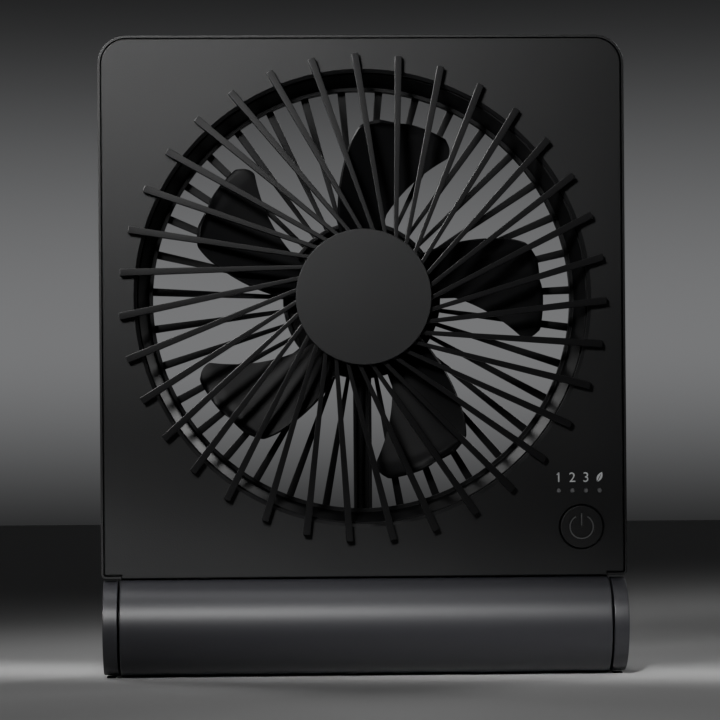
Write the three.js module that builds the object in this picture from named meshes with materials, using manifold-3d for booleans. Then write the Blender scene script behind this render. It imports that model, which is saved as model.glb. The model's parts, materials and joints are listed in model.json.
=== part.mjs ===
// Folding desk fan: a square head with a round air opening, a round barrel fixed along the
// head's foot that holds the cells, and a flat stand hinged to the two ends of the barrel.
// Millimetres. +X is right, +Z is up and the fan blows towards -Y.
import * as THREE from 'three';
import { mergeVertices } from 'three/addons/utils/BufferGeometryUtils.js';
import Module from 'manifold-3d';

const wasm = await Module();
wasm.setup();

// ---------------------------------------------------------------- driving dimensions

const GAP = 0.3; // clearance between neighbouring pieces
const THREAD_GAP = 0.1; // clearance of a screw's shank in its pilot hole

// Heights above the table
const HINGE_HEIGHT = 14.1;
const FAN_HEIGHT = 107.6;

// Head panel, measured from the fan's axis
const PANEL_HALF_WIDTH = 75;
const PANEL_TOP = 74.9;
const PANEL_BOTTOM = -79.5;
const PANEL_CORNER_RADIUS = 8.3;
const PANEL_FOOT_RADIUS = 1.4;
const PANEL_REAR = 9.1;
const SKIRT_HALF_WIDTH = 69.6; // the stretch of the panel that reaches down onto the barrel
const SKIRT_BOTTOM = -84;
const PLATE_FRONT = -4;
const PLATE_THICKNESS = 2;
const PLATE_CHAMFER = 0.3;
const RIM_WIDTH = 0.65; // shell rim that shows around the front plate
const RIM_GROOVE = 0.35;
const RIM_SETBACK = 0.4;
const SHELL_WALL = 1.6;
const SHELL_BEVEL = 1.2;

// Air path
const OPENING_RADIUS = 65;
const THROAT_RADIUS = 60.4;
const LIP_RADIUS = 59.1;
const DUCT_OUTER_RADIUS = 63.5;
const THROAT_DEPTH = 4.2;
const DUCT_END = 5.7;

// Front grille
const BAR_COUNT = 35;
const BAR_PITCH = (2 * Math.PI) / BAR_COUNT;
const BAR_TIP_RADIUS = 69.4;
const BAR_OFFSET = 9; // distance of each bar's line from the fan's axis
const BAR_TIP_ANGLE = THREE.MathUtils.degToRad(9.3); // of the first bar's outer end
const BAR_TIP_WIDTH = 2;
const BAR_ROOT_WIDTH = 1.1;
const BAR_FLAT_LENGTH = 2.7; // outer stretch that lies parallel to the plate
const BAR_FRONT_AT_TIP = -6.2;
const BAR_FRONT_AT_ROOT = -7.8;
const BAR_BACK_AT_ROOT = -5.6;
const PEG_COUNT = 7;
const PEG_RADIUS = 0.8;
const PEG_REACH = -1.4;
const GRILLE_HUB_RADIUS = 18.9;
const CAP_RADIUS = 19.4;
const CAP_FRONT = -9.2;
const CAP_THICKNESS = 1.1;
const CAP_SPIGOT_RADIUS = 3;

// Rear grille and motor mount
const REAR_BAR_FRONT = 6.8;
const REAR_BAR_BACK = 8.8;
const REAR_BAR_RIM_WIDTH = 2;
const REAR_BAR_HUB_WIDTH = 1.1;
const REAR_RIM_INNER = 59.3;
const REAR_RIM_OUTER = 61.3;
const WIRE_SPOKE_WIDTH = 5.2;
const WIRE_SPOKE_FRONT = 6.2;
const WIRE_CHANNEL_WIDTH = 3.2;
const WIRE_CHANNEL_FLOOR = 7.6;
const MOTOR_CUP_RADIUS = 22.6;
const MOTOR_CUP_WALL = 1.2;
const MOTOR_CUP_FRONT = 5.2;
const MOTOR_CUP_FLOOR = 7.3;
const BEARING_TUBE_RADIUS = 4.2;
const BEARING_SEAT_RADIUS = 3;
const BEARING_TUBE_FRONT = 0.6;
const SHAFT_RADIUS = 1.25;
const SHAFT_RUNNING_GAP = 0.05;

// Impeller and motor
const BLADE_COUNT = 5;
const BLADE_PITCH = (2 * Math.PI) / BLADE_COUNT;
const BLADE_FIRST_ANGLE = 58.4; // degrees, at the hooked leading corner of the first blade
const BLADE_RADIUS = 51.2;
const BLADE_THICKNESS = 1.2;
const BLADE_REAR = 4.6;
const BLADE_FRONT = -2.9;
const IMPELLER_HUB_RADIUS = 17.5;
const IMPELLER_HUB_WALL = 1.3;
const IMPELLER_FRONT = -3.4;
const IMPELLER_REAR = 4.4;
const CAN_FRONT = -1.7;
const CAN_WALL = 0.8;
const CAN_RADIUS = 15.9;
const MAGNET_OUTER = 14.8;
const MAGNET_INNER = 13.2;
const STATOR_POLES = 6;
const STATOR_BORE = 4.5;
const STATOR_HUB_RADIUS = 6.5;
const STATOR_RADIUS = 12.3;
const STATOR_FRONT = 0.9;
const STATOR_REAR = 3.4;
const STATOR_ARM_HALF_WIDTH = 1.2;
const STATOR_SHOE_HALF_WIDTH = 3.5;
const STATOR_SHOE_DEPTH = 1.1;
const MOTOR_BOARD_RADIUS = 15.5;
const MOTOR_BOARD_FRONT = 5;
const MOTOR_BOARD_REAR = 6;

// Controls, measured from the fan's axis
const BUTTON_X = 62;
const BUTTON_Z = -65.7;
const BUTTON_RADIUS = 6.1;
const BUTTON_BACK = -0.9;
const BUTTON_FLANGE_RADIUS = 7.2;
const LAMP_COUNT = 4;
const LAMP_FIRST_X = 55.5;
const LAMP_PITCH = 3.9;
const LAMP_Z = -55.3;
const LAMP_RADIUS = 0.6;
const BOARD_FRONT = 3.3;
const BOARD_THICKNESS = 1.2;
const BOARD_LEFT = 47;
const BOARD_RIGHT = 72;
const BOARD_BOTTOM = -70;
const BOARD_TOP = -49;
const PORT_CENTRE_Y = 1.5;
const PORT_HEIGHT = 8.9;
const PORT_DEPTH = 2.9;

// Case screws: places on the panel
const SCREW_PLACES = [
  [66, 66.5],
  [-66, 66.5],
  [-69, -73.6],
  [69, -73.6],
];
const SCREW_SHANK_RADIUS = 0.9;
const SCREW_HEAD_RADIUS = 2;
const POST_RADIUS = 2.4;
const POST_END = 4.5;
const BOSS_RADIUS = 3.4;
const SCREW_SEAT = 7.4;

// Barrel, along X about the hinge axis
const BARREL_RADIUS = 13.9;
const BARREL_WALL = 1.8;
const BARREL_HALF_LENGTH = 69.6;
const BARREL_SEAT_GAP = 0.3; // shell to barrel
const PLATE_SEAT_GAP = 0.6; // front plate to barrel, the dark seam along the foot
const CELL_RADIUS = 9.2;
const CELL_LENGTH = 65;
const CELL_INNER_END = 0.8;
const PLUG_INNER_END = 66.9;
const PLUG_OUTER_END = 69;
const BARREL_SCREW_X = 46;
const LEAD_HOLE_X = 57;

// Hinge and stand
const WASHER_START = 69.3; // the washer sits just inside the barrel's end
const WASHER_THICKNESS = 0.6;
const WASHER_RADIUS = 11.6;
const KNUCKLE_START = 70.2;
const KNUCKLE_END = 74.4;
const KNUCKLE_RADIUS = 13.4;
const KNUCKLE_FILLET = 0.4;
const COVER_RADIUS = 9.5;
const COVER_RECESS = 1;
const PIN_RADIUS = 2;
const PIN_HEAD_RADIUS = 4.2;
const STAND_BOTTOM = 1.2;
const STAND_TOP = 4.5;
const STAND_EDGE = 0.4;
const STAND_FRONT = 10.9;
const STAND_REAR = 160;
const STAND_ARM_FRONT = 3;
const REAR_FOOT_RADIUS = 5;
const REAR_FOOT_X = 60;
const REAR_FOOT_Y = 148;
const FRONT_FOOT_LENGTH = 5;
const FRONT_FOOT_WIDTH = 2.6;

// Facets
const LARGE_CIRCLE = 60;
const MIDDLE_CIRCLE = 36;
const SMALL_CIRCLE = 12;
const ARC_STEPS = 3; // half the steps on each rounded corner

// ---------------------------------------------------------------- materials

const material = (color, roughness, metalness = 0) =>
  new THREE.MeshStandardMaterial({ color, roughness, metalness });

const MATT_BLACK = material('#2b2b2d', 0.62);
const SATIN_BLACK = material('#2c2c2e', 0.38);
const GLOSS_BLACK = material('#1a1b1d', 0.25);
const RUBBER_BLACK = material('#1c1c1c', 0.9);
const LAMP_GREY = material('#8d8f92', 0.4);
const STEEL = material('#b8babd', 0.3, 1);
const BRONZE = material('#a97c46', 0.35, 1);
const COPPER = material('#b4682f', 0.4, 1);
const MAGNET_GREY = material('#3d3f42', 0.6);
const BOARD_GREEN = material('#1f5a3a', 0.5);
const CELL_WRAP = material('#2f6f8f', 0.4);
const WIRE_BLACK = material('#202020', 0.6);

// ---------------------------------------------------------------- solids

/** Closed mesh with shared vertices, no empty triangles and its faces pointing out. */
function closed(geometry) {
  const bare = geometry.clone();
  bare.deleteAttribute('normal');
  bare.deleteAttribute('uv');
  const merged = mergeVertices(bare, 1e-4);
  const index = [];
  for (let i = 0; i < merged.index.count; i += 3) {
    const [a, b, c] = [0, 1, 2].map((k) => merged.index.getX(i + k));
    if (a !== b && b !== c && c !== a) index.push(a, b, c);
  }
  if (signedVolume(merged.attributes.position, index) < 0) index.reverse();
  merged.setIndex(index);
  return merged;
}

function signedVolume(points, index) {
  const [a, b, c] = [0, 0, 0].map(() => new THREE.Vector3());
  let sum = 0;
  for (let i = 0; i < index.length; i += 3) {
    a.fromBufferAttribute(points, index[i]);
    b.fromBufferAttribute(points, index[i + 1]);
    c.fromBufferAttribute(points, index[i + 2]);
    sum += a.dot(b.cross(c)) / 6;
  }
  return sum;
}

function solid(geometry) {
  const mesh = closed(geometry);
  return new wasm.Manifold(new wasm.Mesh({
    numProp: 3,
    vertProperties: new Float32Array(mesh.attributes.position.array),
    triVerts: new Uint32Array(mesh.index.array),
  }));
}

function geometryOf(manifold) {
  const mesh = manifold.getMesh();
  const geometry = new THREE.BufferGeometry();
  geometry.setAttribute('position', new THREE.BufferAttribute(mesh.vertProperties, 3));
  geometry.setIndex(new THREE.BufferAttribute(mesh.triVerts, 1));
  return geometry;
}

const join = (...solids) => solids.reduce((sum, next) => sum.add(next));
const cut = (from, ...tools) => tools.reduce((rest, tool) => rest.subtract(tool), from);

/** Named mesh of a geometry or a manifold, at a place in its group. */
function piece(name, shape, look, [x, y, z] = [0, 0, 0]) {
  const geometry = shape.isBufferGeometry ? closed(shape) : geometryOf(shape);
  const flat = geometry.toNonIndexed();
  flat.computeVertexNormals();
  const mesh = new THREE.Mesh(flat, look);
  mesh.name = name;
  mesh.position.set(x, y, z);
  return mesh;
}

function group(children, [x, y, z] = [0, 0, 0]) {
  const node = new THREE.Group();
  node.position.set(x, y, z);
  node.add(...children.flat());
  return node;
}

// ---------------------------------------------------------------- basic shapes

/** Box between two values on each axis. */
function box([x0, x1], [y0, y1], [z0, z1]) {
  const geometry = new THREE.BoxGeometry(x1 - x0, y1 - y0, z1 - z0);
  return geometry.translate((x0 + x1) / 2, (y0 + y1) / 2, (z0 + z1) / 2);
}

/** Body turned about Y from [radius, y] points. A profile off the axis closes on itself. */
function turned(profile, segments) {
  const ends = [profile[0], profile.at(-1)];
  const ring = ends.some(([radius]) => radius > 0) ? [...profile, profile[0]] : profile;
  const points = ring.map(([radius, y]) => new THREE.Vector2(radius, y));
  return new THREE.LatheGeometry(points, segments);
}

const alongX = (geometry) => geometry.rotateZ(-Math.PI / 2);
const alongZ = (geometry) => geometry.rotateX(Math.PI / 2);

/** Round rod or disc along Y. */
const rod = (radius, y0, y1, segments = SMALL_CIRCLE) =>
  turned([[0, y0], [radius, y0], [radius, y1], [0, y1]], segments);

/** Tube or ring along Y. */
const ring = (inner, outer, y0, y1, segments = SMALL_CIRCLE) =>
  turned([[inner, y0], [outer, y0], [outer, y1], [inner, y1]], segments);

/** Flat piece: an outline in X and Z, between two Y values, with chamfered edges. */
function slab(shape, y0, y1, chamfer = 0) {
  const geometry = new THREE.ExtrudeGeometry(shape, {
    depth: y1 - y0 - 2 * chamfer,
    bevelEnabled: chamfer > 0,
    bevelThickness: chamfer,
    bevelSize: chamfer,
    bevelOffset: -chamfer,
    bevelSegments: 1,
    curveSegments: ARC_STEPS,
  });
  return geometry.rotateX(Math.PI / 2).translate(0, y1 - chamfer, 0);
}

/** Straight bar along +X whose section is set at each station: {at, width, front, back}. */
function bar(stations) {
  const last = stations.length - 1;
  const geometry = new THREE.BoxGeometry(1, 1, 1, last, 1, 1);
  const point = geometry.attributes.position;
  for (let i = 0; i < point.count; i++) {
    const { at, width, front, back } = stations[Math.round((point.getX(i) + 0.5) * last)];
    const side = Math.sign(point.getZ(i));
    point.setXYZ(i, at, point.getY(i) < 0 ? front : back, (side * width) / 2);
  }
  return geometry;
}

/** Turns a geometry about the fan's axis, anticlockwise as seen from the front. */
const turn = (geometry, angle) => geometry.rotateY(-angle);

/** Round hole in an outline, with a set number of sides. */
function circle(radius, sides) {
  const points = Array.from({ length: sides }, (_, i) => {
    const angle = (-i * 2 * Math.PI) / sides;
    return new THREE.Vector2(radius * Math.cos(angle), radius * Math.sin(angle));
  });
  return new THREE.Path(points);
}

/** Rounded rectangle in X and Z. */
function roundedRectangle(halfWidth, halfHeight, radius) {
  const shape = new THREE.Shape();
  const [x, z] = [halfWidth - radius, halfHeight - radius];
  shape.absarc(x, z, radius, 0, Math.PI / 2);
  shape.absarc(-x, z, radius, Math.PI / 2, Math.PI);
  shape.absarc(-x, -z, radius, Math.PI, 1.5 * Math.PI);
  shape.absarc(x, -z, radius, 1.5 * Math.PI, 2 * Math.PI);
  return shape;
}

// ---------------------------------------------------------------- head: casing

/** Outline of the head, moved inwards by an inset: four corners and the skirt's step. */
function panelOutline(inset) {
  const half = PANEL_HALF_WIDTH - inset;
  const top = PANEL_TOP - inset;
  const bottom = PANEL_BOTTOM + inset;
  const upper = PANEL_CORNER_RADIUS - inset;
  const lower = Math.max(PANEL_FOOT_RADIUS - inset, 0.5);
  const skirt = SKIRT_HALF_WIDTH - inset / 2;
  const shape = new THREE.Shape();
  shape.moveTo(-skirt, SKIRT_BOTTOM);
  shape.lineTo(skirt, SKIRT_BOTTOM);
  shape.lineTo(skirt, bottom);
  shape.absarc(half - lower, bottom + lower, lower, 1.5 * Math.PI, 2 * Math.PI);
  shape.absarc(half - upper, top - upper, upper, 0, Math.PI / 2);
  shape.absarc(upper - half, top - upper, upper, Math.PI / 2, Math.PI);
  shape.absarc(lower - half, bottom + lower, lower, Math.PI, 1.5 * Math.PI);
  shape.lineTo(-skirt, bottom);
  return shape;
}

/** Round rod along X about the hinge axis, in the head's own frame. */
function barrelTool(radius) {
  const geometry = alongX(rod(radius, -KNUCKLE_END, KNUCKLE_END, MIDDLE_CIRCLE));
  return solid(geometry.translate(0, 0, HINGE_HEIGHT - FAN_HEIGHT));
}

const drill = (x, z, radius, y0, y1) => solid(rod(radius, y0, y1).translate(x, 0, z));

const lampX = (i) => LAMP_FIRST_X + i * LAMP_PITCH;

/** Angle of one of the bars that carries a peg, at its outer end. */
const pegAngle = (i) => BAR_TIP_ANGLE + i * (BAR_COUNT / PEG_COUNT) * BAR_PITCH;
const PEG_CIRCLE = BAR_TIP_RADIUS - BAR_FLAT_LENGTH / 2;

function frontPlate() {
  const outline = panelOutline(RIM_WIDTH + RIM_GROOVE);
  outline.holes.push(circle(OPENING_RADIUS, LARGE_CIRCLE));
  const back = PLATE_FRONT + PLATE_THICKNESS;
  const sheet = solid(slab(outline, PLATE_FRONT, back, PLATE_CHAMFER));
  const through = [PLATE_FRONT - 1, back + 1];
  const posts = SCREW_PLACES.map(([x, z]) => drill(x, z, POST_RADIUS, back - 0.5, POST_END));
  const pilots = SCREW_PLACES.map(([x, z]) =>
    drill(x, z, SCREW_SHANK_RADIUS + THREAD_GAP, -1.2, POST_END + 1));
  const lamps = Array.from({ length: LAMP_COUNT }, (_, i) =>
    drill(lampX(i), LAMP_Z, LAMP_RADIUS + 0.15, ...through));
  const pegs = Array.from({ length: PEG_COUNT }, (_, i) =>
    drill(PEG_CIRCLE * Math.cos(pegAngle(i)), PEG_CIRCLE * Math.sin(pegAngle(i)),
      PEG_RADIUS + GAP, ...through));
  const button = drill(BUTTON_X, BUTTON_Z, BUTTON_RADIUS + GAP, ...through);
  return cut(join(sheet, ...posts), ...pilots, ...lamps, ...pegs, button,
    barrelTool(BARREL_RADIUS + PLATE_SEAT_GAP));
}

function rearShell() {
  const front = PLATE_FRONT + RIM_SETBACK;
  const innerRear = PANEL_REAR - SHELL_WALL;
  const ledge = PLATE_FRONT + PLATE_THICKNESS + GAP;
  const outer = solid(slab(panelOutline(0), front - 2 * SHELL_BEVEL, PANEL_REAR, SHELL_BEVEL));
  const trim = solid(box([-80, 80], [front - 5, front], [-90, 80]));
  const rebate = solid(slab(panelOutline(RIM_WIDTH), front - 1, ledge));
  const floorTool = barrelTool(BARREL_RADIUS + BARREL_SEAT_GAP + SHELL_WALL);
  const cavity = cut(solid(slab(panelOutline(SHELL_WALL), ledge - 1, innerRear)), floorTool);
  const bosses = SCREW_PLACES.map(([x, z]) =>
    drill(x, z, BOSS_RADIUS, POST_END + GAP, innerRear + 0.5));
  const holes = SCREW_PLACES.map(([x, z]) =>
    drill(x, z, SCREW_SHANK_RADIUS + GAP, 0, PANEL_REAR + 1));
  const seats = SCREW_PLACES.map(([x, z]) =>
    drill(x, z, SCREW_HEAD_RADIUS + GAP, SCREW_SEAT, PANEL_REAR + 1));
  const air = solid(rod(REAR_RIM_OUTER + GAP, innerRear - 1, PANEL_REAR + 1, LARGE_CIRCLE));
  const open = join(cut(outer, trim, rebate, cavity), ...bosses);
  return cut(open, ...holes, ...seats, air, ...barrelFixings(),
    barrelTool(BARREL_RADIUS + BARREL_SEAT_GAP), portHole());
}

/** Upright holes through the head's floor and the barrel's wall: two screws and one lead. */
function barrelFixings() {
  const hole = (x, radius) =>
    solid(alongZ(rod(radius, 5, 18)).translate(x, 0, HINGE_HEIGHT - FAN_HEIGHT));
  return [
    hole(-BARREL_SCREW_X, SCREW_SHANK_RADIUS + GAP),
    hole(BARREL_SCREW_X, SCREW_SHANK_RADIUS + GAP),
    hole(LEAD_HOLE_X, 1.6),
  ];
}

function portHole() {
  const shape = roundedRectangle(PORT_DEPTH / 2 + GAP, PORT_HEIGHT / 2 + GAP, 1.6);
  const geometry = slab(shape, 72, 78).rotateZ(-Math.PI / 2);
  return solid(geometry.translate(0, PORT_CENTRE_Y, BUTTON_Z));
}

const ductRing = () => turned([
  [OPENING_RADIUS - 0.1, PLATE_FRONT + PLATE_THICKNESS + GAP],
  [THROAT_RADIUS, THROAT_DEPTH],
  [LIP_RADIUS, THROAT_DEPTH],
  [LIP_RADIUS, DUCT_END],
  [DUCT_OUTER_RADIUS, DUCT_END],
  [DUCT_OUTER_RADIUS, 2],
  [OPENING_RADIUS + 1.6, PLATE_FRONT + PLATE_THICKNESS + GAP],
], LARGE_CIRCLE);

// ---------------------------------------------------------------- head: grilles

function frontGrille() {
  const tip = Math.sqrt(BAR_TIP_RADIUS ** 2 - BAR_OFFSET ** 2);
  const root = Math.sqrt((GRILLE_HUB_RADIUS - 1) ** 2 - BAR_OFFSET ** 2);
  const back = PLATE_FRONT - GAP;
  const stations = [
    { at: root, width: BAR_ROOT_WIDTH, front: BAR_FRONT_AT_ROOT, back: BAR_BACK_AT_ROOT },
    { at: tip - BAR_FLAT_LENGTH, width: BAR_TIP_WIDTH, front: BAR_FRONT_AT_TIP, back },
    { at: tip, width: BAR_TIP_WIDTH, front: BAR_FRONT_AT_TIP, back },
  ];
  const lean = Math.asin(BAR_OFFSET / BAR_TIP_RADIUS);
  const bars = Array.from({ length: BAR_COUNT }, (_, i) => {
    const geometry = bar(stations).translate(0, 0, -BAR_OFFSET);
    return solid(turn(geometry, BAR_TIP_ANGLE + lean + i * BAR_PITCH));
  });
  const pegs = Array.from({ length: PEG_COUNT }, (_, i) => {
    const peg = rod(PEG_RADIUS, back - 0.5, PEG_REACH, 10).translate(PEG_CIRCLE, 0, 0);
    return solid(turn(peg, pegAngle(i)));
  });
  const hub = solid(ring(CAP_SPIGOT_RADIUS + GAP, GRILLE_HUB_RADIUS,
    BAR_FRONT_AT_ROOT, BAR_BACK_AT_ROOT + 0.4, MIDDLE_CIRCLE));
  return join(hub, ...bars, ...pegs);
}

const hubCap = () => turned([
  [0, CAP_FRONT],
  [CAP_RADIUS - 0.25, CAP_FRONT],
  [CAP_RADIUS, CAP_FRONT + 0.25],
  [CAP_RADIUS, CAP_FRONT + CAP_THICKNESS],
  [CAP_SPIGOT_RADIUS, CAP_FRONT + CAP_THICKNESS],
  [CAP_SPIGOT_RADIUS, BAR_BACK_AT_ROOT],
  [0, BAR_BACK_AT_ROOT],
], MIDDLE_CIRCLE);

function rearGrille() {
  const rim = solid(turned([
    [REAR_RIM_INNER, DUCT_END + GAP],
    [DUCT_OUTER_RADIUS, DUCT_END + GAP],
    [DUCT_OUTER_RADIUS, PANEL_REAR - SHELL_WALL - GAP],
    [REAR_RIM_OUTER, PANEL_REAR - SHELL_WALL - GAP],
    [REAR_RIM_OUTER, REAR_BAR_BACK],
    [REAR_RIM_INNER, REAR_BAR_BACK],
  ], LARGE_CIRCLE));
  const inner = MOTOR_CUP_RADIUS - MOTOR_CUP_WALL;
  const cup = solid(turned([
    [BEARING_SEAT_RADIUS, BEARING_TUBE_FRONT],
    [BEARING_TUBE_RADIUS, BEARING_TUBE_FRONT],
    [BEARING_TUBE_RADIUS, MOTOR_CUP_FLOOR],
    [inner, MOTOR_CUP_FLOOR],
    [inner, MOTOR_CUP_FRONT],
    [MOTOR_CUP_RADIUS, MOTOR_CUP_FRONT],
    [MOTOR_CUP_RADIUS, REAR_BAR_BACK],
    [0, REAR_BAR_BACK],
    [0, MOTOR_CUP_FLOOR],
    [BEARING_SEAT_RADIUS, MOTOR_CUP_FLOOR],
  ], MIDDLE_CIRCLE));
  const reach = { from: MOTOR_CUP_RADIUS - 0.6, to: REAR_RIM_INNER + 0.6 };
  const section = { front: REAR_BAR_FRONT, back: REAR_BAR_BACK };
  const stations = [
    { at: reach.from, width: REAR_BAR_HUB_WIDTH, ...section },
    { at: reach.to, width: REAR_BAR_RIM_WIDTH, ...section },
  ];
  const down = -Math.PI / 2;
  const bars = Array.from({ length: BAR_COUNT - 1 }, (_, i) =>
    solid(turn(bar(stations), down + (i + 1) * BAR_PITCH)));
  const half = WIRE_SPOKE_WIDTH / 2;
  const spoke = solid(box([-half, half], [WIRE_SPOKE_FRONT, REAR_BAR_BACK], [-reach.to, -reach.from]));
  const halfChannel = WIRE_CHANNEL_WIDTH / 2;
  const channel = solid(box([-halfChannel, halfChannel], [0, WIRE_CHANNEL_FLOOR], [-70, -18.5]));
  return cut(join(rim, cup, spoke, ...bars), channel);
}

// ---------------------------------------------------------------- head: motor

/** Round board behind the stator, with room for the bearing tube. */
const motorBoard = () => ring(BEARING_TUBE_RADIUS + GAP, MOTOR_BOARD_RADIUS, MOTOR_BOARD_FRONT,
  MOTOR_BOARD_REAR, 24);

function statorCore() {
  const hub = solid(ring(STATOR_BORE, STATOR_HUB_RADIUS, STATOR_FRONT, STATOR_REAR, 24));
  const arms = Array.from({ length: STATOR_POLES }, (_, i) => {
    const angle = (i * 2 * Math.PI) / STATOR_POLES;
    const arm = box([STATOR_HUB_RADIUS - 0.6, STATOR_RADIUS - 0.5], [STATOR_FRONT, STATOR_REAR],
      [-STATOR_ARM_HALF_WIDTH, STATOR_ARM_HALF_WIDTH]);
    const shoe = box([STATOR_RADIUS - STATOR_SHOE_DEPTH, STATOR_RADIUS], [STATOR_FRONT, STATOR_REAR],
      [-STATOR_SHOE_HALF_WIDTH, STATOR_SHOE_HALF_WIDTH]);
    return join(solid(turn(arm, angle)), solid(turn(shoe, angle)));
  });
  return join(hub, ...arms);
}

/** One winding around a stator arm, lying along +X. */
function statorCoil() {
  const [from, to] = [STATOR_HUB_RADIUS + 0.6, STATOR_RADIUS - 1.1 - GAP];
  const bundle = solid(box([from, to], [STATOR_FRONT - 0.9, STATOR_REAR + 0.9], [-2.4, 2.4]));
  const arm = solid(box([0, 20], [STATOR_FRONT - GAP / 2, STATOR_REAR + GAP / 2], [-1.35, 1.35]));
  return cut(bundle, arm);
}

function statorCoils() {
  return Array.from({ length: STATOR_POLES }, (_, i) => {
    const coil = piece(`stator_coil_${i + 1}`, statorCoil(), COPPER);
    coil.rotation.y = (-i * 2 * Math.PI) / STATOR_POLES;
    return coil;
  });
}

const bearingSleeve = () => ring(SHAFT_RADIUS + SHAFT_RUNNING_GAP, BEARING_SEAT_RADIUS - 0.1,
  BEARING_TUBE_FRONT, MOTOR_CUP_FLOOR - GAP, 24);

/** Lead of the motor: along the wide spoke's channel, out under the duct and to the board. */
function motorLead() {
  const path = new THREE.CatmullRomCurve3([
    new THREE.Vector3(0, 6.75, -19.2),
    new THREE.Vector3(0, 6.75, -40),
    new THREE.Vector3(0, 6.75, -60),
    new THREE.Vector3(2, 6.4, -68),
    new THREE.Vector3(14, 5.4, -71.5),
    new THREE.Vector3(34, 4, -70.5),
    new THREE.Vector3(BOARD_LEFT - 1, BOARD_FRONT + BOARD_THICKNESS / 2, -66),
  ]);
  return tube(path, 0.5, 20);
}

/** Lead of the cells: up out of the barrel to the lower edge of the board. */
function batteryLead() {
  const path = new THREE.CatmullRomCurve3([
    new THREE.Vector3(LEAD_HOLE_X, 0, -82.2),
    new THREE.Vector3(LEAD_HOLE_X, 0, -77),
    new THREE.Vector3(LEAD_HOLE_X, 1.6, -73.5),
    new THREE.Vector3(LEAD_HOLE_X, BOARD_FRONT + BOARD_THICKNESS / 2, BOARD_BOTTOM - 0.4),
  ]);
  return tube(path, 0.8, 8);
}

function tube(path, radius, steps) {
  const section = new THREE.Shape().absarc(0, 0, radius, 0, 2 * Math.PI);
  return new THREE.ExtrudeGeometry(section, { extrudePath: path, steps, curveSegments: ARC_STEPS });
}

// ---------------------------------------------------------------- impeller

/** Leading edge of a blade in degrees from its hooked corner, at a radius. */
function leadingAngle(radius) {
  const hook = 47.3;
  if (radius > hook) {
    const over = (radius - hook) / (BLADE_RADIUS - hook);
    return 4.5 * (1 - Math.sqrt(1 - over ** 2));
  }
  return 0.71 * (hook - radius);
}

/** Trailing edge in degrees from the hooked corner, at a radius. */
function trailingAngle(radius) {
  const shoulder = 44;
  const straight = 36.2 - 0.62 * (radius - shoulder);
  const over = Math.max(0, radius - shoulder);
  return straight - 0.03 * over ** 2;
}

/** One twisted blade: a thin box bent onto the blade's surface, station by station. */
function blade() {
  const radii = [IMPELLER_HUB_RADIUS - 0.8, 24, 31, 38, 44, 47.3, 49.4, 50.6, BLADE_RADIUS];
  const chordSteps = 4;
  const geometry = new THREE.BoxGeometry(1, 1, 1, radii.length - 1, 1, chordSteps);
  const point = geometry.attributes.position;
  for (let i = 0; i < point.count; i++) {
    const radius = radii[Math.round((point.getX(i) + 0.5) * (radii.length - 1))];
    const along = point.getZ(i) + 0.5;
    const [from, to] = [leadingAngle(radius), trailingAngle(radius)];
    const angle = THREE.MathUtils.degToRad(from + along * (to - from));
    const half = (point.getY(i) * BLADE_THICKNESS);
    const camber = 1.2 * Math.sin(Math.PI * along);
    const middle = THREE.MathUtils.lerp(BLADE_REAR, BLADE_FRONT, along) + camber;
    const depth = THREE.MathUtils.clamp(middle, BLADE_FRONT, BLADE_REAR - BLADE_THICKNESS / 2) + half;
    point.setXYZ(i, radius * Math.cos(angle), depth, radius * Math.sin(angle));
  }
  return geometry;
}

function impeller() {
  const inner = IMPELLER_HUB_RADIUS - IMPELLER_HUB_WALL;
  const face = IMPELLER_FRONT + 1.4;
  const hub = solid(turned([
    [0, IMPELLER_FRONT],
    [IMPELLER_HUB_RADIUS - 0.8, IMPELLER_FRONT],
    [IMPELLER_HUB_RADIUS, IMPELLER_FRONT + 0.8],
    [IMPELLER_HUB_RADIUS, IMPELLER_REAR],
    [inner, IMPELLER_REAR],
    [inner, face],
    [0, face],
  ], MIDDLE_CIRCLE));
  const blades = Array.from({ length: BLADE_COUNT }, (_, i) => {
    const angle = THREE.MathUtils.degToRad(BLADE_FIRST_ANGLE) + i * BLADE_PITCH;
    return solid(turn(blade(), angle));
  });
  const room = solid(rod(inner, face, IMPELLER_REAR + 2, MIDDLE_CIRCLE));
  return cut(join(hub, ...blades), room);
}

const rotorCan = () => turned([
  [SHAFT_RADIUS + GAP, CAN_FRONT],
  [CAN_RADIUS, CAN_FRONT],
  [CAN_RADIUS, IMPELLER_REAR - 0.2],
  [CAN_RADIUS - CAN_WALL, IMPELLER_REAR - 0.2],
  [CAN_RADIUS - CAN_WALL, CAN_FRONT + CAN_WALL],
  [SHAFT_RADIUS + GAP, CAN_FRONT + CAN_WALL],
], 24);

// ---------------------------------------------------------------- controls

/** Round push button with a wide flange behind the plate that keeps it in. */
const powerButton = () => turned([
  [0, PLATE_FRONT],
  [BUTTON_RADIUS - 0.25, PLATE_FRONT],
  [BUTTON_RADIUS, PLATE_FRONT + 0.25],
  [BUTTON_RADIUS, PLATE_FRONT + PLATE_THICKNESS + GAP],
  [BUTTON_FLANGE_RADIUS, PLATE_FRONT + PLATE_THICKNESS + GAP],
  [BUTTON_FLANGE_RADIUS, BUTTON_BACK],
  [0, BUTTON_BACK],
], 24);

function tactSwitch() {
  const body = solid(box([-3, 3], [0.7, BOARD_FRONT - GAP], [-3, 3]));
  return join(body, solid(rod(1.6, 0, 1)));
}

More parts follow.
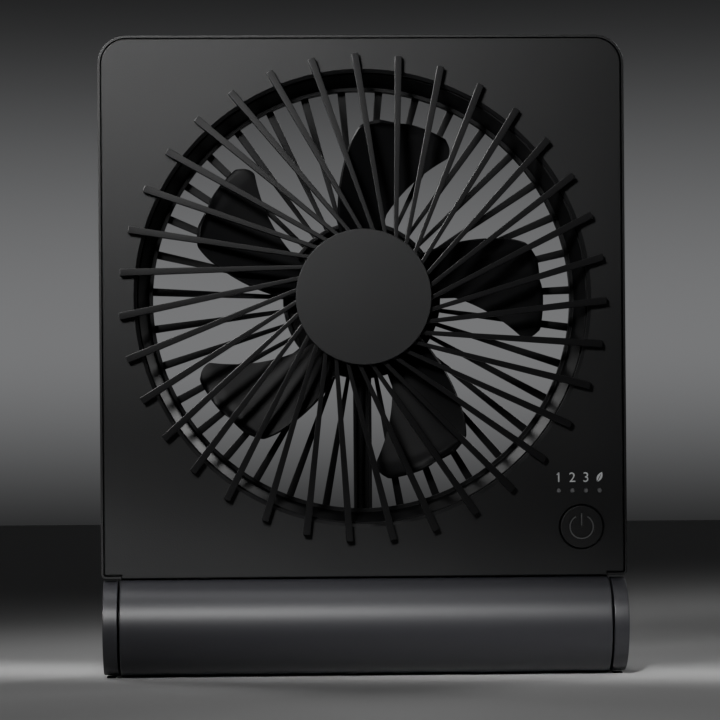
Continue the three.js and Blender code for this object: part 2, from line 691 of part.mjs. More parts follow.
/** Bar behind the plate with one clear pin for each lamp. */
function lightGuide() {
  const last = (LAMP_COUNT - 1) * LAMP_PITCH;
  const carrier = solid(box([-1.4, last + 1.4], [-1.6, -0.4], [-1.2, 1.2]));
  const pins = Array.from({ length: LAMP_COUNT }, (_, i) =>
    solid(rod(LAMP_RADIUS, PLATE_FRONT + 0.05, -1).translate(i * LAMP_PITCH, 0, 0)));
  return join(carrier, ...pins);
}

function lamps() {
  return Array.from({ length: LAMP_COUNT }, (_, i) =>
    piece(`lamp_${i + 1}`, box([-0.8, 0.8], [2.4, BOARD_FRONT - 0.1], [-0.5, 0.5]), LAMP_GREY,
      [lampX(i), 0, LAMP_Z]));
}

/** Charging socket: a flat metal sleeve with a tongue, open towards +X. */
function chargingPort() {
  const sleeve = (grow) => roundedRectangle(PORT_DEPTH / 2 + grow, PORT_HEIGHT / 2 + grow, 1.3 + grow);
  const outer = solid(slab(sleeve(0), 66.4, 74.6).rotateZ(-Math.PI / 2));
  const inner = solid(slab(sleeve(-0.3), 67.6, 76).rotateZ(-Math.PI / 2));
  const tongue = solid(box([67, 73.4], [-0.35, 0.35], [-3.3, 3.3]));
  return join(cut(outer, inner), tongue);
}

// ---------------------------------------------------------------- barrel

function barrelTube() {
  const wall = alongX(ring(BARREL_RADIUS - BARREL_WALL, BARREL_RADIUS,
    -BARREL_HALF_LENGTH, BARREL_HALF_LENGTH, MIDDLE_CIRCLE));
  const drop = FAN_HEIGHT - HINGE_HEIGHT;
  return cut(solid(wall), ...barrelFixings().map((hole) => hole.translate([0, 0, drop])));
}

/** Plug in one end of the barrel that turns on the hinge pin. */
const barrelPlug = () => alongX(ring(PIN_RADIUS + 0.06, BARREL_RADIUS - BARREL_WALL - GAP,
  PLUG_INNER_END, PLUG_OUTER_END, 24));

/** Round cell lying along +X with its raised contact at the outer end. */
const batteryCell = () => alongX(turned([
  [0, CELL_INNER_END],
  [CELL_RADIUS, CELL_INNER_END],
  [CELL_RADIUS, CELL_INNER_END + CELL_LENGTH - 1],
  [3.2, CELL_INNER_END + CELL_LENGTH - 1],
  [3.2, CELL_INNER_END + CELL_LENGTH],
  [0, CELL_INNER_END + CELL_LENGTH],
], 24));

const batteryContact = () => alongX(rod(5, CELL_INNER_END + CELL_LENGTH + GAP,
  PLUG_INNER_END - GAP, SMALL_CIRCLE));

/** Trough under both cells. */
function batteryCradle() {
  const shape = new THREE.Shape();
  const [from, to] = [Math.PI * 1.08, Math.PI * 1.92];
  shape.absarc(0, 0, BARREL_RADIUS - BARREL_WALL - GAP, from, to);
  shape.absarc(0, 0, CELL_RADIUS + GAP, to, from, true);
  const length = CELL_INNER_END + CELL_LENGTH;
  return slab(shape, -length, length).rotateZ(-Math.PI / 2);
}

/** Screw that stands upright: head at the top, shank down through the barrel's wall. */
function barrelScrew() {
  const seat = BARREL_RADIUS + BARREL_SEAT_GAP + SHELL_WALL + GAP;
  return alongZ(turned([
    [0, CELL_RADIUS + 1.4],
    [SCREW_SHANK_RADIUS, CELL_RADIUS + 1.4],
    [SCREW_SHANK_RADIUS, seat],
    [SCREW_HEAD_RADIUS, seat],
    [SCREW_HEAD_RADIUS, seat + 1.2],
    [0, seat + 1.2],
  ], SMALL_CIRCLE));
}

/** Screw along Y: its head faces the rear. */
const caseScrew = () => turned([
  [0, -0.6],
  [SCREW_SHANK_RADIUS, -0.6],
  [SCREW_SHANK_RADIUS, SCREW_SEAT + GAP],
  [SCREW_HEAD_RADIUS, SCREW_SEAT + GAP],
  [SCREW_HEAD_RADIUS, PANEL_REAR - 0.3],
  [0, PANEL_REAR - 0.3],
], SMALL_CIRCLE);

// ---------------------------------------------------------------- hinge and stand

/** Round knuckle on the +X side, with a recess for its cover and a seat for the pin's head. */
function knuckle() {
  const body = solid(alongX(turned([
    [0, KNUCKLE_START],
    [KNUCKLE_RADIUS, KNUCKLE_START],
    [KNUCKLE_RADIUS, KNUCKLE_END - KNUCKLE_FILLET],
    [KNUCKLE_RADIUS - KNUCKLE_FILLET * 0.3, KNUCKLE_END - KNUCKLE_FILLET * 0.3],
    [KNUCKLE_RADIUS - KNUCKLE_FILLET, KNUCKLE_END],
    [0, KNUCKLE_END],
  ], MIDDLE_CIRCLE)));
  const floor = KNUCKLE_END - COVER_RECESS;
  const recess = solid(alongX(rod(COVER_RADIUS + GAP, floor, 80, MIDDLE_CIRCLE)));
  const seat = solid(alongX(rod(PIN_HEAD_RADIUS + GAP, floor - 1.1, 80, 24)));
  const bore = solid(alongX(rod(PIN_RADIUS + 0.1, 60, 80, 24)));
  return cut(body, recess, seat, bore);
}

/** Mirror image of a solid across the YZ plane. */
const mirrored = (manifold) => manifold.mirror([1, 0, 0]);

/** The stand's flat outline: two short arms at the front and rounded corners at the rear. */
function standOutline() {
  const half = KNUCKLE_END;
  const corner = PANEL_CORNER_RADIUS;
  const shape = new THREE.Shape();
  shape.moveTo(KNUCKLE_START, STAND_FRONT);
  shape.lineTo(KNUCKLE_START, STAND_ARM_FRONT);
  shape.lineTo(half, STAND_ARM_FRONT);
  shape.absarc(half - corner, STAND_REAR - corner, corner, 0, Math.PI / 2);
  shape.absarc(corner - half, STAND_REAR - corner, corner, Math.PI / 2, Math.PI);
  shape.lineTo(-half, STAND_ARM_FRONT);
  shape.lineTo(-KNUCKLE_START, STAND_ARM_FRONT);
  shape.lineTo(-KNUCKLE_START, STAND_FRONT);
  return shape;
}

function standPlate() {
  const sheet = new THREE.ExtrudeGeometry(standOutline(), {
    depth: STAND_TOP - STAND_BOTTOM - 2 * STAND_EDGE,
    bevelThickness: STAND_EDGE,
    bevelSize: STAND_EDGE,
    bevelOffset: -STAND_EDGE,
    bevelSegments: 1,
    curveSegments: ARC_STEPS,
  }).translate(0, 0, STAND_BOTTOM + STAND_EDGE);
  const end = knuckle().translate([0, 0, HINGE_HEIGHT]);
  return join(solid(sheet), end, mirrored(end));
}

/** Slightly domed cover on the outside of the +X knuckle. */
const endCover = () => alongX(turned([
  [0, KNUCKLE_END - COVER_RECESS + GAP],
  [COVER_RADIUS, KNUCKLE_END - COVER_RECESS + GAP],
  [COVER_RADIUS, KNUCKLE_END - 0.1],
  [COVER_RADIUS - 3, KNUCKLE_END + 0.12],
  [0, KNUCKLE_END + 0.2],
], 24));

const frictionWasher = () => alongX(ring(PIN_RADIUS + GAP, WASHER_RADIUS,
  WASHER_START, WASHER_START + WASHER_THICKNESS, MIDDLE_CIRCLE));

/** Steel pin from the +X knuckle into the barrel's plug. */
function hingePin() {
  const seat = KNUCKLE_END - COVER_RECESS - 1.1 + 0.1;
  return alongX(turned([
    [0, PLUG_INNER_END],
    [PIN_RADIUS, PLUG_INNER_END],
    [PIN_RADIUS, seat],
    [PIN_HEAD_RADIUS, seat],
    [PIN_HEAD_RADIUS, seat + 0.8],
    [0, seat + 0.8],
  ], 24));
}

const rearFoot = () => alongZ(turned([
  [0, 0],
  [REAR_FOOT_RADIUS - 0.2, 0],
  [REAR_FOOT_RADIUS, 0.2],
  [REAR_FOOT_RADIUS, STAND_BOTTOM - GAP],
  [0, STAND_BOTTOM - GAP],
], 20));

/** Small pad under a knuckle. */
function frontFoot() {
  const top = HINGE_HEIGHT - KNUCKLE_RADIUS - GAP;
  const [w, l] = [FRONT_FOOT_WIDTH / 2, FRONT_FOOT_LENGTH / 2];
  return box([-w, w], [-l, l], [0, top]);
}

/** The two copies of an end piece, made for +X and mirrored for -X. */
function bothEnds(name, shape, look, place = [0, 0, 0]) {
  const right = solid(shape);
  return [
    piece(`${name}_right`, right, look, place),
    piece(`${name}_left`, mirrored(right), look, [-place[0], place[1], place[2]]),
  ];
}

// ---------------------------------------------------------------- assembly

const motorUnit = group([
  piece('rear_grille', rearGrille(), GLOSS_BLACK),
  piece('motor_board', motorBoard(), BOARD_GREEN),
  piece('stator_core', statorCore(), STEEL),
  statorCoils(),
  piece('bearing_sleeve', bearingSleeve(), BRONZE),
  piece('impeller', impeller(), GLOSS_BLACK),
  piece('rotor_can', rotorCan(), STEEL),
  piece('magnet_ring', ring(MAGNET_INNER, MAGNET_OUTER, CAN_FRONT + CAN_WALL + GAP,
    IMPELLER_REAR - 0.4, 24), MAGNET_GREY),
  piece('motor_shaft', rod(SHAFT_RADIUS, CAN_FRONT, MOTOR_CUP_FLOOR - GAP, 24), STEEL),
]);

const controls = group([
  piece('power_button', powerButton(), MATT_BLACK, [BUTTON_X, 0, BUTTON_Z]),
  piece('tact_switch', tactSwitch(), GLOSS_BLACK, [BUTTON_X, 0, BUTTON_Z]),
  piece('light_guide', lightGuide(), LAMP_GREY, [LAMP_FIRST_X, 0, LAMP_Z]),
  lamps(),
  piece('main_board', box([BOARD_LEFT, BOARD_RIGHT], [BOARD_FRONT, BOARD_FRONT + BOARD_THICKNESS],
    [BOARD_BOTTOM, BOARD_TOP]), BOARD_GREEN),
  piece('charging_port', chargingPort(), STEEL, [0, PORT_CENTRE_Y, BUTTON_Z]),
]);

const headUnit = group([
  piece('front_plate', frontPlate(), MATT_BLACK),
  piece('rear_shell', rearShell(), MATT_BLACK),
  piece('duct_ring', ductRing(), GLOSS_BLACK),
  piece('front_grille', frontGrille(), SATIN_BLACK),
  piece('hub_cap', hubCap(), MATT_BLACK),
  piece('motor_lead', motorLead(), WIRE_BLACK),
  piece('battery_lead', batteryLead(), WIRE_BLACK),
  SCREW_PLACES.map(([x, z], i) => piece(`case_screw_${i + 1}`, caseScrew(), STEEL, [x, 0, z])),
  motorUnit,
  controls,
], [0, 0, FAN_HEIGHT]);

const barrelUnit = group([
  piece('barrel_tube', barrelTube(), SATIN_BLACK),
  bothEnds('barrel_plug', barrelPlug(), MATT_BLACK),
  bothEnds('battery_cell', batteryCell(), CELL_WRAP),
  bothEnds('battery_contact', batteryContact(), STEEL),
  piece('battery_cradle', batteryCradle(), MATT_BLACK),
  bothEnds('barrel_screw', barrelScrew(), STEEL, [BARREL_SCREW_X, 0, 0]),
  bothEnds('hinge_pin', hingePin(), STEEL),
  bothEnds('friction_washer', frictionWasher(), GLOSS_BLACK),
  bothEnds('end_cover', endCover(), SATIN_BLACK),
], [0, 0, HINGE_HEIGHT]);

const FRONT_FOOT_X = (KNUCKLE_START + KNUCKLE_END) / 2;
const standUnit = group([
  piece('stand_plate', standPlate(), SATIN_BLACK),
  bothEnds('rear_foot', rearFoot(), RUBBER_BLACK, [REAR_FOOT_X, REAR_FOOT_Y, 0]),
  bothEnds('front_foot', frontFoot(), RUBBER_BLACK, [FRONT_FOOT_X, 0, 0]),
]);

// The origin is on the table, below the middle of the whole fan.
const middleY = (STAND_REAR - BARREL_RADIUS) / 2;
const deskFan = group([headUnit, barrelUnit, standUnit], [0, -middleY, 0]);

export default deskFan;
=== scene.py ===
"""Folding desk fan: a square barred head, a round barrel along its foot and a flat stand."""

import json
import logging
import math
from dataclasses import dataclass
from enum import Enum
from typing import Any, Self, Sequence

import bmesh
import bpy
from mathutils import Matrix, Vector


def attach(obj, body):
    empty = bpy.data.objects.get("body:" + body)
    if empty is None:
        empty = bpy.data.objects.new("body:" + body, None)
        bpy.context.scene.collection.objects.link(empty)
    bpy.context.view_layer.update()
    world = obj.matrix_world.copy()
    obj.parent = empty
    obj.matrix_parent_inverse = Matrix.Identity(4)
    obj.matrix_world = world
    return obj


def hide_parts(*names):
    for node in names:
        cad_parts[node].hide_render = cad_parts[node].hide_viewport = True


LOG = logging.getLogger("desk_fan")
MM = 0.001
MERGE_MM = 1e-3
X_AXIS, Y_AXIS, Z_AXIS = Vector((1, 0, 0)), Vector((0, 1, 0)), Vector((0, 0, 1))

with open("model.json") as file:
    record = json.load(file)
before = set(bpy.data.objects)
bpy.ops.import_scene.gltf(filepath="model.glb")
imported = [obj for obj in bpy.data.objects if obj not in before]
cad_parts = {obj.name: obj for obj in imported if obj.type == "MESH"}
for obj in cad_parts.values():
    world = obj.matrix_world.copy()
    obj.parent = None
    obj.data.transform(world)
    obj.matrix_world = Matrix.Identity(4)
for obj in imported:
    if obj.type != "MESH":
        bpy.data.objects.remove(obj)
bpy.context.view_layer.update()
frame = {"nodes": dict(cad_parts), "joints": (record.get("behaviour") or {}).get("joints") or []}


class Rides(Enum):
    """The four bodies that pieces move with."""

    STAND = "stand"
    HEAD = "head"
    FAN = "fan"
    BUTTON = "button"


class Grain(Enum):
    """How a finish breaks up under a close look."""

    MOULDED = "spark-eroded mould texture"
    SATIN = "fine smooth moulding"
    RUBBER = "soft matt rubber"
    BRUSHED = "drawn or turned metal"
    WOUND = "layers of enamelled wire"
    BOARD = "lacquered board with tracks"
    PRINT = "flat pad print"


def joint_place(name: str) -> Vector:
    """Return where a joint's axis passes, in metres."""
    joint = next(j for j in frame["joints"] if j["name"] == name)
    return Vector(joint["pos_m"])


FAN_PLACE = joint_place("fan_spin")
HINGE_PLACE = joint_place("head_tilt")


# -------- shaders


class Wire:
    """One socket of a shader tree, with the arithmetic that the finishes use."""

    def __init__(self, tree: "NodeTree", socket: bpy.types.NodeSocket) -> None:
        """Wrap a socket of a tree."""
        self.tree = tree
        self.socket = socket

    def _math(self, operation: str, left: Any, right: Any) -> "Wire":
        """Return one Math node's result."""
        node = self.tree.node("ShaderNodeMath", {"operation": operation}, {0: left, 1: right})
        return Wire(self.tree, node.outputs[0])

    def __add__(self, other: Any) -> "Wire":
        """Add a number or a wire."""
        return self._math("ADD", self, other)

    __radd__ = __add__

    def __sub__(self, other: Any) -> "Wire":
        """Take away a number or a wire."""
        return self._math("SUBTRACT", self, other)

    def __rsub__(self, other: Any) -> "Wire":
        """Take this wire away from a number."""
        return self._math("SUBTRACT", other, self)

    def __mul__(self, other: Any) -> "Wire":
        """Multiply by a number or a wire."""
        return self._math("MULTIPLY", self, other)

    __rmul__ = __mul__


class NodeTree:
    """Nodes and links of a material or a world."""

    def __init__(self, tree: bpy.types.NodeTree) -> None:
        """Wrap a Blender node tree."""
        self.tree = tree

    def node(self, kind: str, settings: dict[str, Any], inputs: dict[Any, Any]) -> bpy.types.Node:
        """Add a node.

        Args:
            kind: The node's type.
            settings: Properties that are set before its sockets.
            inputs: Values or wires, by the socket's name or number.

        Returns:
            The node.
        """
        made = self.tree.nodes.new(kind)
        for key, value in settings.items():
            setattr(made, key, value)
        for key, value in inputs.items():
            self.feed(made.inputs[key], value)
        return made

    def feed(self, socket: bpy.types.NodeSocket, value: Any) -> None:
        """Link a wire to a socket, or set the socket's value."""
        if isinstance(value, Wire):
            self.tree.links.new(value.socket, socket)
        else:
            socket.default_value = value


class ShaderTree(NodeTree):
    """The nodes of one material."""

    def __init__(self, name: str) -> None:
        """Make an empty material with its shader and output."""
        self.material = bpy.data.materials.new(name)
        self.material.use_nodes = True
        super().__init__(self.material.node_tree)
        self.shader = self.tree.nodes["Principled BSDF"]

    def place(self) -> Wire:
        """Return the surface point in the object's own coordinates."""
        return Wire(self, self.node("ShaderNodeTexCoord", {}, {}).outputs["Object"])

    def stretched(self, scale: Sequence[float]) -> Wire:
        """Return the surface point with each axis scaled."""
        mapping = self.node("ShaderNodeMapping", {}, {"Vector": self.place(), "Scale": scale})
        return Wire(self, mapping.outputs["Vector"])

    def noise(self, size_mm: float, detail: float = 2.0, at: Wire | None = None) -> Wire:
        """Return smooth noise from 0 to 1 with features of about the given size."""
        inputs = {"Vector": at or self.place(), "Scale": 1 / (size_mm * MM), "Detail": detail}
        return Wire(self, self.node("ShaderNodeTexNoise", {}, inputs).outputs["Fac"])

    def blend(self, factor: Any, first: Sequence[float], second: Sequence[float]) -> Wire:
        """Return a mix of two colours."""
        inputs = {"Factor": factor, 6: (*first, 1), 7: (*second, 1)}
        node = self.node("ShaderNodeMix", {"data_type": "RGBA"}, inputs)
        return Wire(self, node.outputs[2])

    def bump(self, height: Wire, depth_mm: float, strength: float = 1.0) -> None:
        """Feed the shader's normal from a height."""
        inputs = {"Height": height, "Distance": depth_mm * MM, "Strength": strength}
        bump = self.node("ShaderNodeBump", {}, inputs)
        self.feed(self.shader.inputs["Normal"], Wire(self, bump.outputs[0]))


@dataclass(frozen=True)
class Finish:
    """One surface finish: a base colour and how it breaks up."""

    name: str
    slot: str
    colour: tuple[float, float, float]
    roughness: float
    grain: Grain
    metallic: float = 0.0
    grain_mm: float = 0.3
    depth_mm: float = 0.01
    specular: float = 0.5

    def material(self) -> bpy.types.Material:
        """Return the finish's material, made once."""
        found = bpy.data.materials.get(self.name)
        return found or self._make()

    def _make(self) -> bpy.types.Material:
        """Build the node tree for the finish."""
        tree = ShaderTree(self.name)
        shader = tree.shader
        shader.inputs["Metallic"].default_value = self.metallic
        shader.inputs["Specular IOR Level"].default_value = self.specular
        special = {Grain.BRUSHED: self._brushed, Grain.WOUND: self._wound, Grain.BOARD: self._board}
        special.get(self.grain, self._moulded)(tree)
        return tree.material

    def _shade(self, tree: ShaderTree, factor: Wire, spread: float) -> None:
        """Vary the base colour a little about its value."""
        darker = [c * (1 - spread) for c in self.colour]
        lighter = [c * (1 + spread) for c in self.colour]
        tree.feed(tree.shader.inputs["Base Color"], tree.blend(factor, darker, lighter))

    def _moulded(self, tree: ShaderTree) -> None:
        """Fine grain in the surface, with slow drifts in gloss."""
        grain = tree.noise(self.grain_mm, 3)
        drift = tree.noise(28)
        self._shade(tree, grain * 0.5 + drift * 0.5, 0.1)
        tree.feed(tree.shader.inputs["Roughness"], drift * 0.06 + grain * 0.05 + (self.roughness - 0.055))
        tree.bump(grain, self.depth_mm)

    def _brushed(self, tree: ShaderTree) -> None:
        """Fine lines across the part."""
        lines = tree.noise(0.5, 3, tree.stretched((1, 12, 12)))
        self._shade(tree, lines, 0.12)
        tree.feed(tree.shader.inputs["Roughness"], lines * 0.16 + (self.roughness - 0.08))
        tree.bump(lines, self.depth_mm)

    def _wound(self, tree: ShaderTree) -> None:
        """Rows of wire side by side."""
        inputs = {"Vector": tree.place(), "Scale": 1 / (1.4 * MM), "Distortion": 0.3}
        rows = Wire(tree, tree.node("ShaderNodeTexWave", {"bands_direction": "Y"}, inputs).outputs["Fac"])
        self._shade(tree, rows, 0.35)
        tree.feed(tree.shader.inputs["Roughness"], self.roughness + rows * 0.1)
        tree.bump(rows, 0.12)

    def _board(self, tree: ShaderTree) -> None:
        """Lacquer over raised tracks."""
        inputs = {"Vector": tree.place(), "Scale": 1 / (2.4 * MM)}
        cells = Wire(tree, tree.node("ShaderNodeTexVoronoi", {"distance": "CHEBYCHEV"}, inputs).outputs[0])
        self._shade(tree, cells, 0.4)
        tree.feed(tree.shader.inputs["Roughness"], self.roughness + cells * 0.12)
        tree.bump(cells, 0.05)


MATT = Finish("matt_moulded_black", "matte_black", (0.009, 0.0092, 0.0097),
              0.42, Grain.MOULDED, 0, 0.36, 0.03)
CAP_MATT = Finish("hub_cap_black", "matte_black", (0.0115, 0.0118, 0.0124),
                  0.44, Grain.MOULDED, 0, 0.34, 0.026)
SATIN = Finish("satin_black", "satin_black", (0.007, 0.007, 0.0072), 0.22, Grain.SATIN, 0, 0.32, 0.009)
BLADE = Finish("blade_black", "gloss_black", (0.0042, 0.0043, 0.0047), 0.46, Grain.SATIN, 0, 0.8, 0.001, 0.18)
BARS = Finish("bar_black", "satin_black", (0.0075, 0.0075, 0.008), 0.3, Grain.SATIN, 0, 0.3, 0.003)
GLOSS = Finish("glossy_black", "gloss_black", (0.004, 0.0041, 0.0045),
               0.42, Grain.SATIN, 0, 0.8, 0.0015, 0.22)
RUBBER = Finish("foot_rubber", "rubber_black", (0.012, 0.012, 0.012), 0.85, Grain.RUBBER, 0, 0.5, 0.03)
LENS = Finish("lamp_lens", "lamp_grey", (0.16, 0.162, 0.166), 0.4, Grain.SATIN, 0, 0.4, 0.003)
INK = Finish("pale_print", "lamp_grey", (0.62, 0.63, 0.64), 0.55, Grain.PRINT, 0, 0.1, 0.002)
# Painted highlight: a lighter grey for the strip in the power sign's groove, standing for the light that its
# edges catch.
SIGN_HIGHLIGHT = Finish("painted_sign_highlight", "lamp_grey", (0.1, 0.101, 0.103), 0.5, Grain.PRINT, 0, 0.1, 0.002)
STEEL = Finish("turned_steel", "steel", (0.45, 0.46, 0.48), 0.3, Grain.BRUSHED, 1.0, 0.3, 0.004)
BLACK_STEEL = Finish("blackened_steel", "steel", (0.03, 0.03, 0.032), 0.36, Grain.BRUSHED, 1.0, 0.3, 0.004)
BRONZE = Finish("sintered_bronze", "bronze", (0.4, 0.2, 0.06), 0.42, Grain.MOULDED, 1.0, 0.2, 0.02)
COPPER = Finish("copper_winding", "copper", (0.45, 0.14, 0.03), 0.34, Grain.WOUND, 1.0)
BOARD = Finish("green_board", "circuit_board", (0.014, 0.1, 0.04), 0.4, Grain.BOARD)
WRAP = Finish("cell_wrap", "battery_wrap", (0.03, 0.16, 0.27), 0.35, Grain.SATIN, 0, 0.6, 0.01)


# -------- modelling


def verts_in(geometry: Sequence[Any]) -> list:
    """Return the vertices in the mixed geometry that an operator gives back."""
    return [item for item in geometry if isinstance(item, bmesh.types.BMVert)]


class Workpiece:
    """A shape being made, in millimetres about a place of its own."""

    def __init__(self) -> None:
        """Start with nothing."""
        self.bm = bmesh.new()

    @classmethod
    def turned(cls, profile: Sequence[tuple[float, float]], axis: Vector = Y_AXIS,
               steps: int = 96) -> Self:
        """Turn a profile about an axis.

        Args:
            profile: Pairs of a radius and a place along the axis. It closes on itself
                where neither end lies on the axis.
            axis: The axis that the profile turns about.
            steps: Sides of the circle.

        Returns:
            The turned shape.
        """
        made = cls()
        out = Z_AXIS if axis is not Z_AXIS else X_AXIS
        verts = [made.bm.verts.new(out * radius + axis * along) for radius, along in profile]
        pairs = list(zip(verts, verts[1:]))
        if profile[0][0] > 0 or profile[-1][0] > 0:
            pairs.append((verts[-1], verts[0]))
        edges = [made.bm.edges.new(pair) for pair in pairs]
        bmesh.ops.spin(
            made.bm, geom=verts + edges, cent=(0, 0, 0), axis=axis,
            angle=math.tau, steps=steps, use_merge=True,
        )
        return made.clean()

    @classmethod
    def rod(cls, radius: float, start: float, end: float, axis: Vector = Y_AXIS,
            steps: int = 96) -> Self:
        """Return a plain cylinder between two places along an axis."""
        return cls.turned([(0, start), (radius, start), (radius, end), (0, end)], axis, steps)

    @classmethod
    def tube(cls, inner: float, outer: float, start: float, end: float, axis: Vector = Y_AXIS,
             steps: int = 96) -> Self:
        """Return a ring between two places along an axis."""
        return cls.turned([(inner, start), (outer, start), (outer, end), (inner, end)], axis, steps)

    @classmethod
    def block(cls, low: Sequence[float], high: Sequence[float]) -> Self:
        """Return a box between two corners."""
        made = cls()
        bmesh.ops.create_cube(made.bm, size=1)
        bmesh.ops.scale(made.bm, vec=[b - a for a, b in zip(low, high)], verts=made.bm.verts)
        return made.move(*[(a + b) / 2 for a, b in zip(low, high)])

    @classmethod
    def prism(cls, corners: Sequence[tuple[float, float, float]], front: float, back: float,
              segments: int = 10) -> Self:
        """Pull an outline in X and Z along Y.

        Args:
            corners: X, Z and the radius that rounds the corner.
            front: Lowest Y.
            back: Highest Y.
            segments: Steps on each rounded corner.

        Returns:
            The prism.
        """
        made = cls()
        edges = made.outline(corners, back, segments)
        face = bmesh.ops.contextual_create(made.bm, geom=edges)["faces"]
        return made.thicken(face, front - back).clean()

    def thicken(self, faces: list, depth: float) -> Self:
        """Pull flat faces along Y into a closed body."""
        grown = bmesh.ops.extrude_face_region(self.bm, geom=faces, use_keep_orig=True)["geom"]
        bmesh.ops.translate(self.bm, vec=(0, depth, 0), verts=verts_in(grown))
        return self

    def outline(self, corners: Sequence[tuple[float, float, float]], y: float, segments: int) -> list:
        """Draw a closed outline with rounded corners at one Y and return its edges."""
        old = set(self.bm.faces)
        verts = [self.bm.verts.new((x, y, z)) for x, z, _ in corners]
        self.bm.faces.new(verts)
        for vert, (_, _, radius) in zip(verts, corners):
            if radius > 0:
                bmesh.ops.bevel(
                    self.bm, geom=[vert], offset=radius, offset_type="OFFSET", segments=segments,
                    profile=0.5, affect="VERTICES", material=-1, clamp_overlap=False,
                )
        fresh = [face for face in self.bm.faces if face not in old]
        edges = list({edge for face in fresh for edge in face.edges})
        bmesh.ops.delete(self.bm, geom=fresh, context="FACES_ONLY")
        return edges

    def circle(self, x: float, z: float, radius: float, y: float, steps: int) -> list:
        """Draw a circle that faces the front and return its edges."""
        turn = Matrix.Translation((x, y, z)) @ Matrix.Rotation(math.pi / 2, 4, "X")
        verts = bmesh.ops.create_circle(self.bm, segments=steps, radius=radius, matrix=turn)["verts"]
        return list({e for v in verts for e in v.link_edges})

    def bridge(self, first: list, second: list) -> None:
        """Join two loops of edges with a band of faces."""
        bmesh.ops.bridge_loops(self.bm, edges=first + second)

    def fill(self, edges: list) -> None:
        """Fill the flat region between closed loops."""
        bmesh.ops.triangle_fill(self.bm, use_beauty=True, use_dissolve=False, edges=edges)

    def clean(self) -> Self:
        """Merge doubles, drop loose edges and point every face outwards."""
        bmesh.ops.remove_doubles(self.bm, verts=self.bm.verts, dist=MERGE_MM)
        bmesh.ops.delete(self.bm, geom=[e for e in self.bm.edges if not e.link_faces], context="EDGES")
        bmesh.ops.recalc_face_normals(self.bm, faces=self.bm.faces)
        return self

    def soften(self, radius: float, segments: int = 2, angle: float = 30) -> Self:
        """Round the edges that turn by more than an angle.

        Args:
            radius: Width of the rounding.
            segments: Steps across it.
            angle: Smallest turn, in degrees, that counts as an edge.

        Returns:
            The same workpiece.
        """
        limit = math.radians(angle)
        return self.round_edges([e for e in self.bm.edges if e.is_manifold and e.calc_face_angle(0) > limit],
                                radius, segments)

    def round_edges(self, edges: list, radius: float, segments: int) -> Self:
        """Round some of the edges."""
        bmesh.ops.bevel(
            self.bm, geom=edges, offset=radius, offset_type="OFFSET", segments=segments,
            profile=0.5, affect="EDGES", material=-1, clamp_overlap=True,
        )
        return self

    def move(self, x: float = 0, y: float = 0, z: float = 0) -> Self:
        """Shift the whole shape."""
        bmesh.ops.translate(self.bm, vec=(x, y, z), verts=self.bm.verts)
        return self

    def turn(self, axis: Vector, degrees: float) -> Self:
        """Turn the whole shape about an axis through its place."""
        turn = Matrix.Rotation(math.radians(degrees), 3, axis)
        bmesh.ops.rotate(self.bm, cent=(0, 0, 0), matrix=turn, verts=self.bm.verts)
        return self

    def to_side(self, side: str) -> Self:
        """Mirror a right-hand shape where it goes on the left."""
        if side == "left":
            bmesh.ops.scale(self.bm, vec=(-1, 1, 1), verts=self.bm.verts)
            bmesh.ops.reverse_faces(self.bm, faces=self.bm.faces)
        return self

    def repeat(self, angles: Sequence[float], axis: Vector = Y_AXIS) -> Self:
        """Replace the shape by copies of itself, each turned by one of the angles in degrees."""
        first = self.bm.verts[:] + self.bm.edges[:] + self.bm.faces[:]
        for angle in angles:
            copy = bmesh.ops.duplicate(self.bm, geom=first)["geom"]
            turn = Matrix.Rotation(math.radians(angle), 3, axis)
            bmesh.ops.rotate(self.bm, cent=(0, 0, 0), matrix=turn, verts=verts_in(copy))
        bmesh.ops.delete(self.bm, geom=verts_in(first), context="VERTS")
        return self

    def add(self, other: Self) -> Self:
        """Take in another workpiece's shape."""
        mesh = bpy.data.meshes.new("loose")
        other.bm.to_mesh(mesh)
        self.bm.from_mesh(mesh)
        bpy.data.meshes.remove(mesh)
        return self

    def carve(self, *cutters: Self) -> Self:
        """Cut other shapes out of this one."""
        target = self._loose()
        for cutter in cutters:
            tool = cutter._loose()
            cut = target.modifiers.new("cut", "BOOLEAN")
            cut.operation, cut.solver, cut.object = "DIFFERENCE", "EXACT", tool
            bpy.context.view_layer.update()
            evaluated = target.evaluated_get(bpy.context.evaluated_depsgraph_get())
            result = bpy.data.meshes.new_from_object(evaluated)
            target.modifiers.clear()
            target.data = result
            bpy.data.objects.remove(tool)
        self.bm.clear()
        self.bm.from_mesh(target.data)
        bpy.data.objects.remove(target)
        bmesh.ops.remove_doubles(self.bm, verts=self.bm.verts, dist=MERGE_MM)
        bmesh.ops.dissolve_degenerate(self.bm, edges=self.bm.edges, dist=MERGE_MM)
        return self

    def _loose(self) -> bpy.types.Object:
        """Return the shape as an object for a boolean."""
        mesh = bpy.data.meshes.new("loose")
        self.bm.to_mesh(mesh)
        made = bpy.data.objects.new("loose", mesh)
        bpy.context.collection.objects.link(made)
        return made

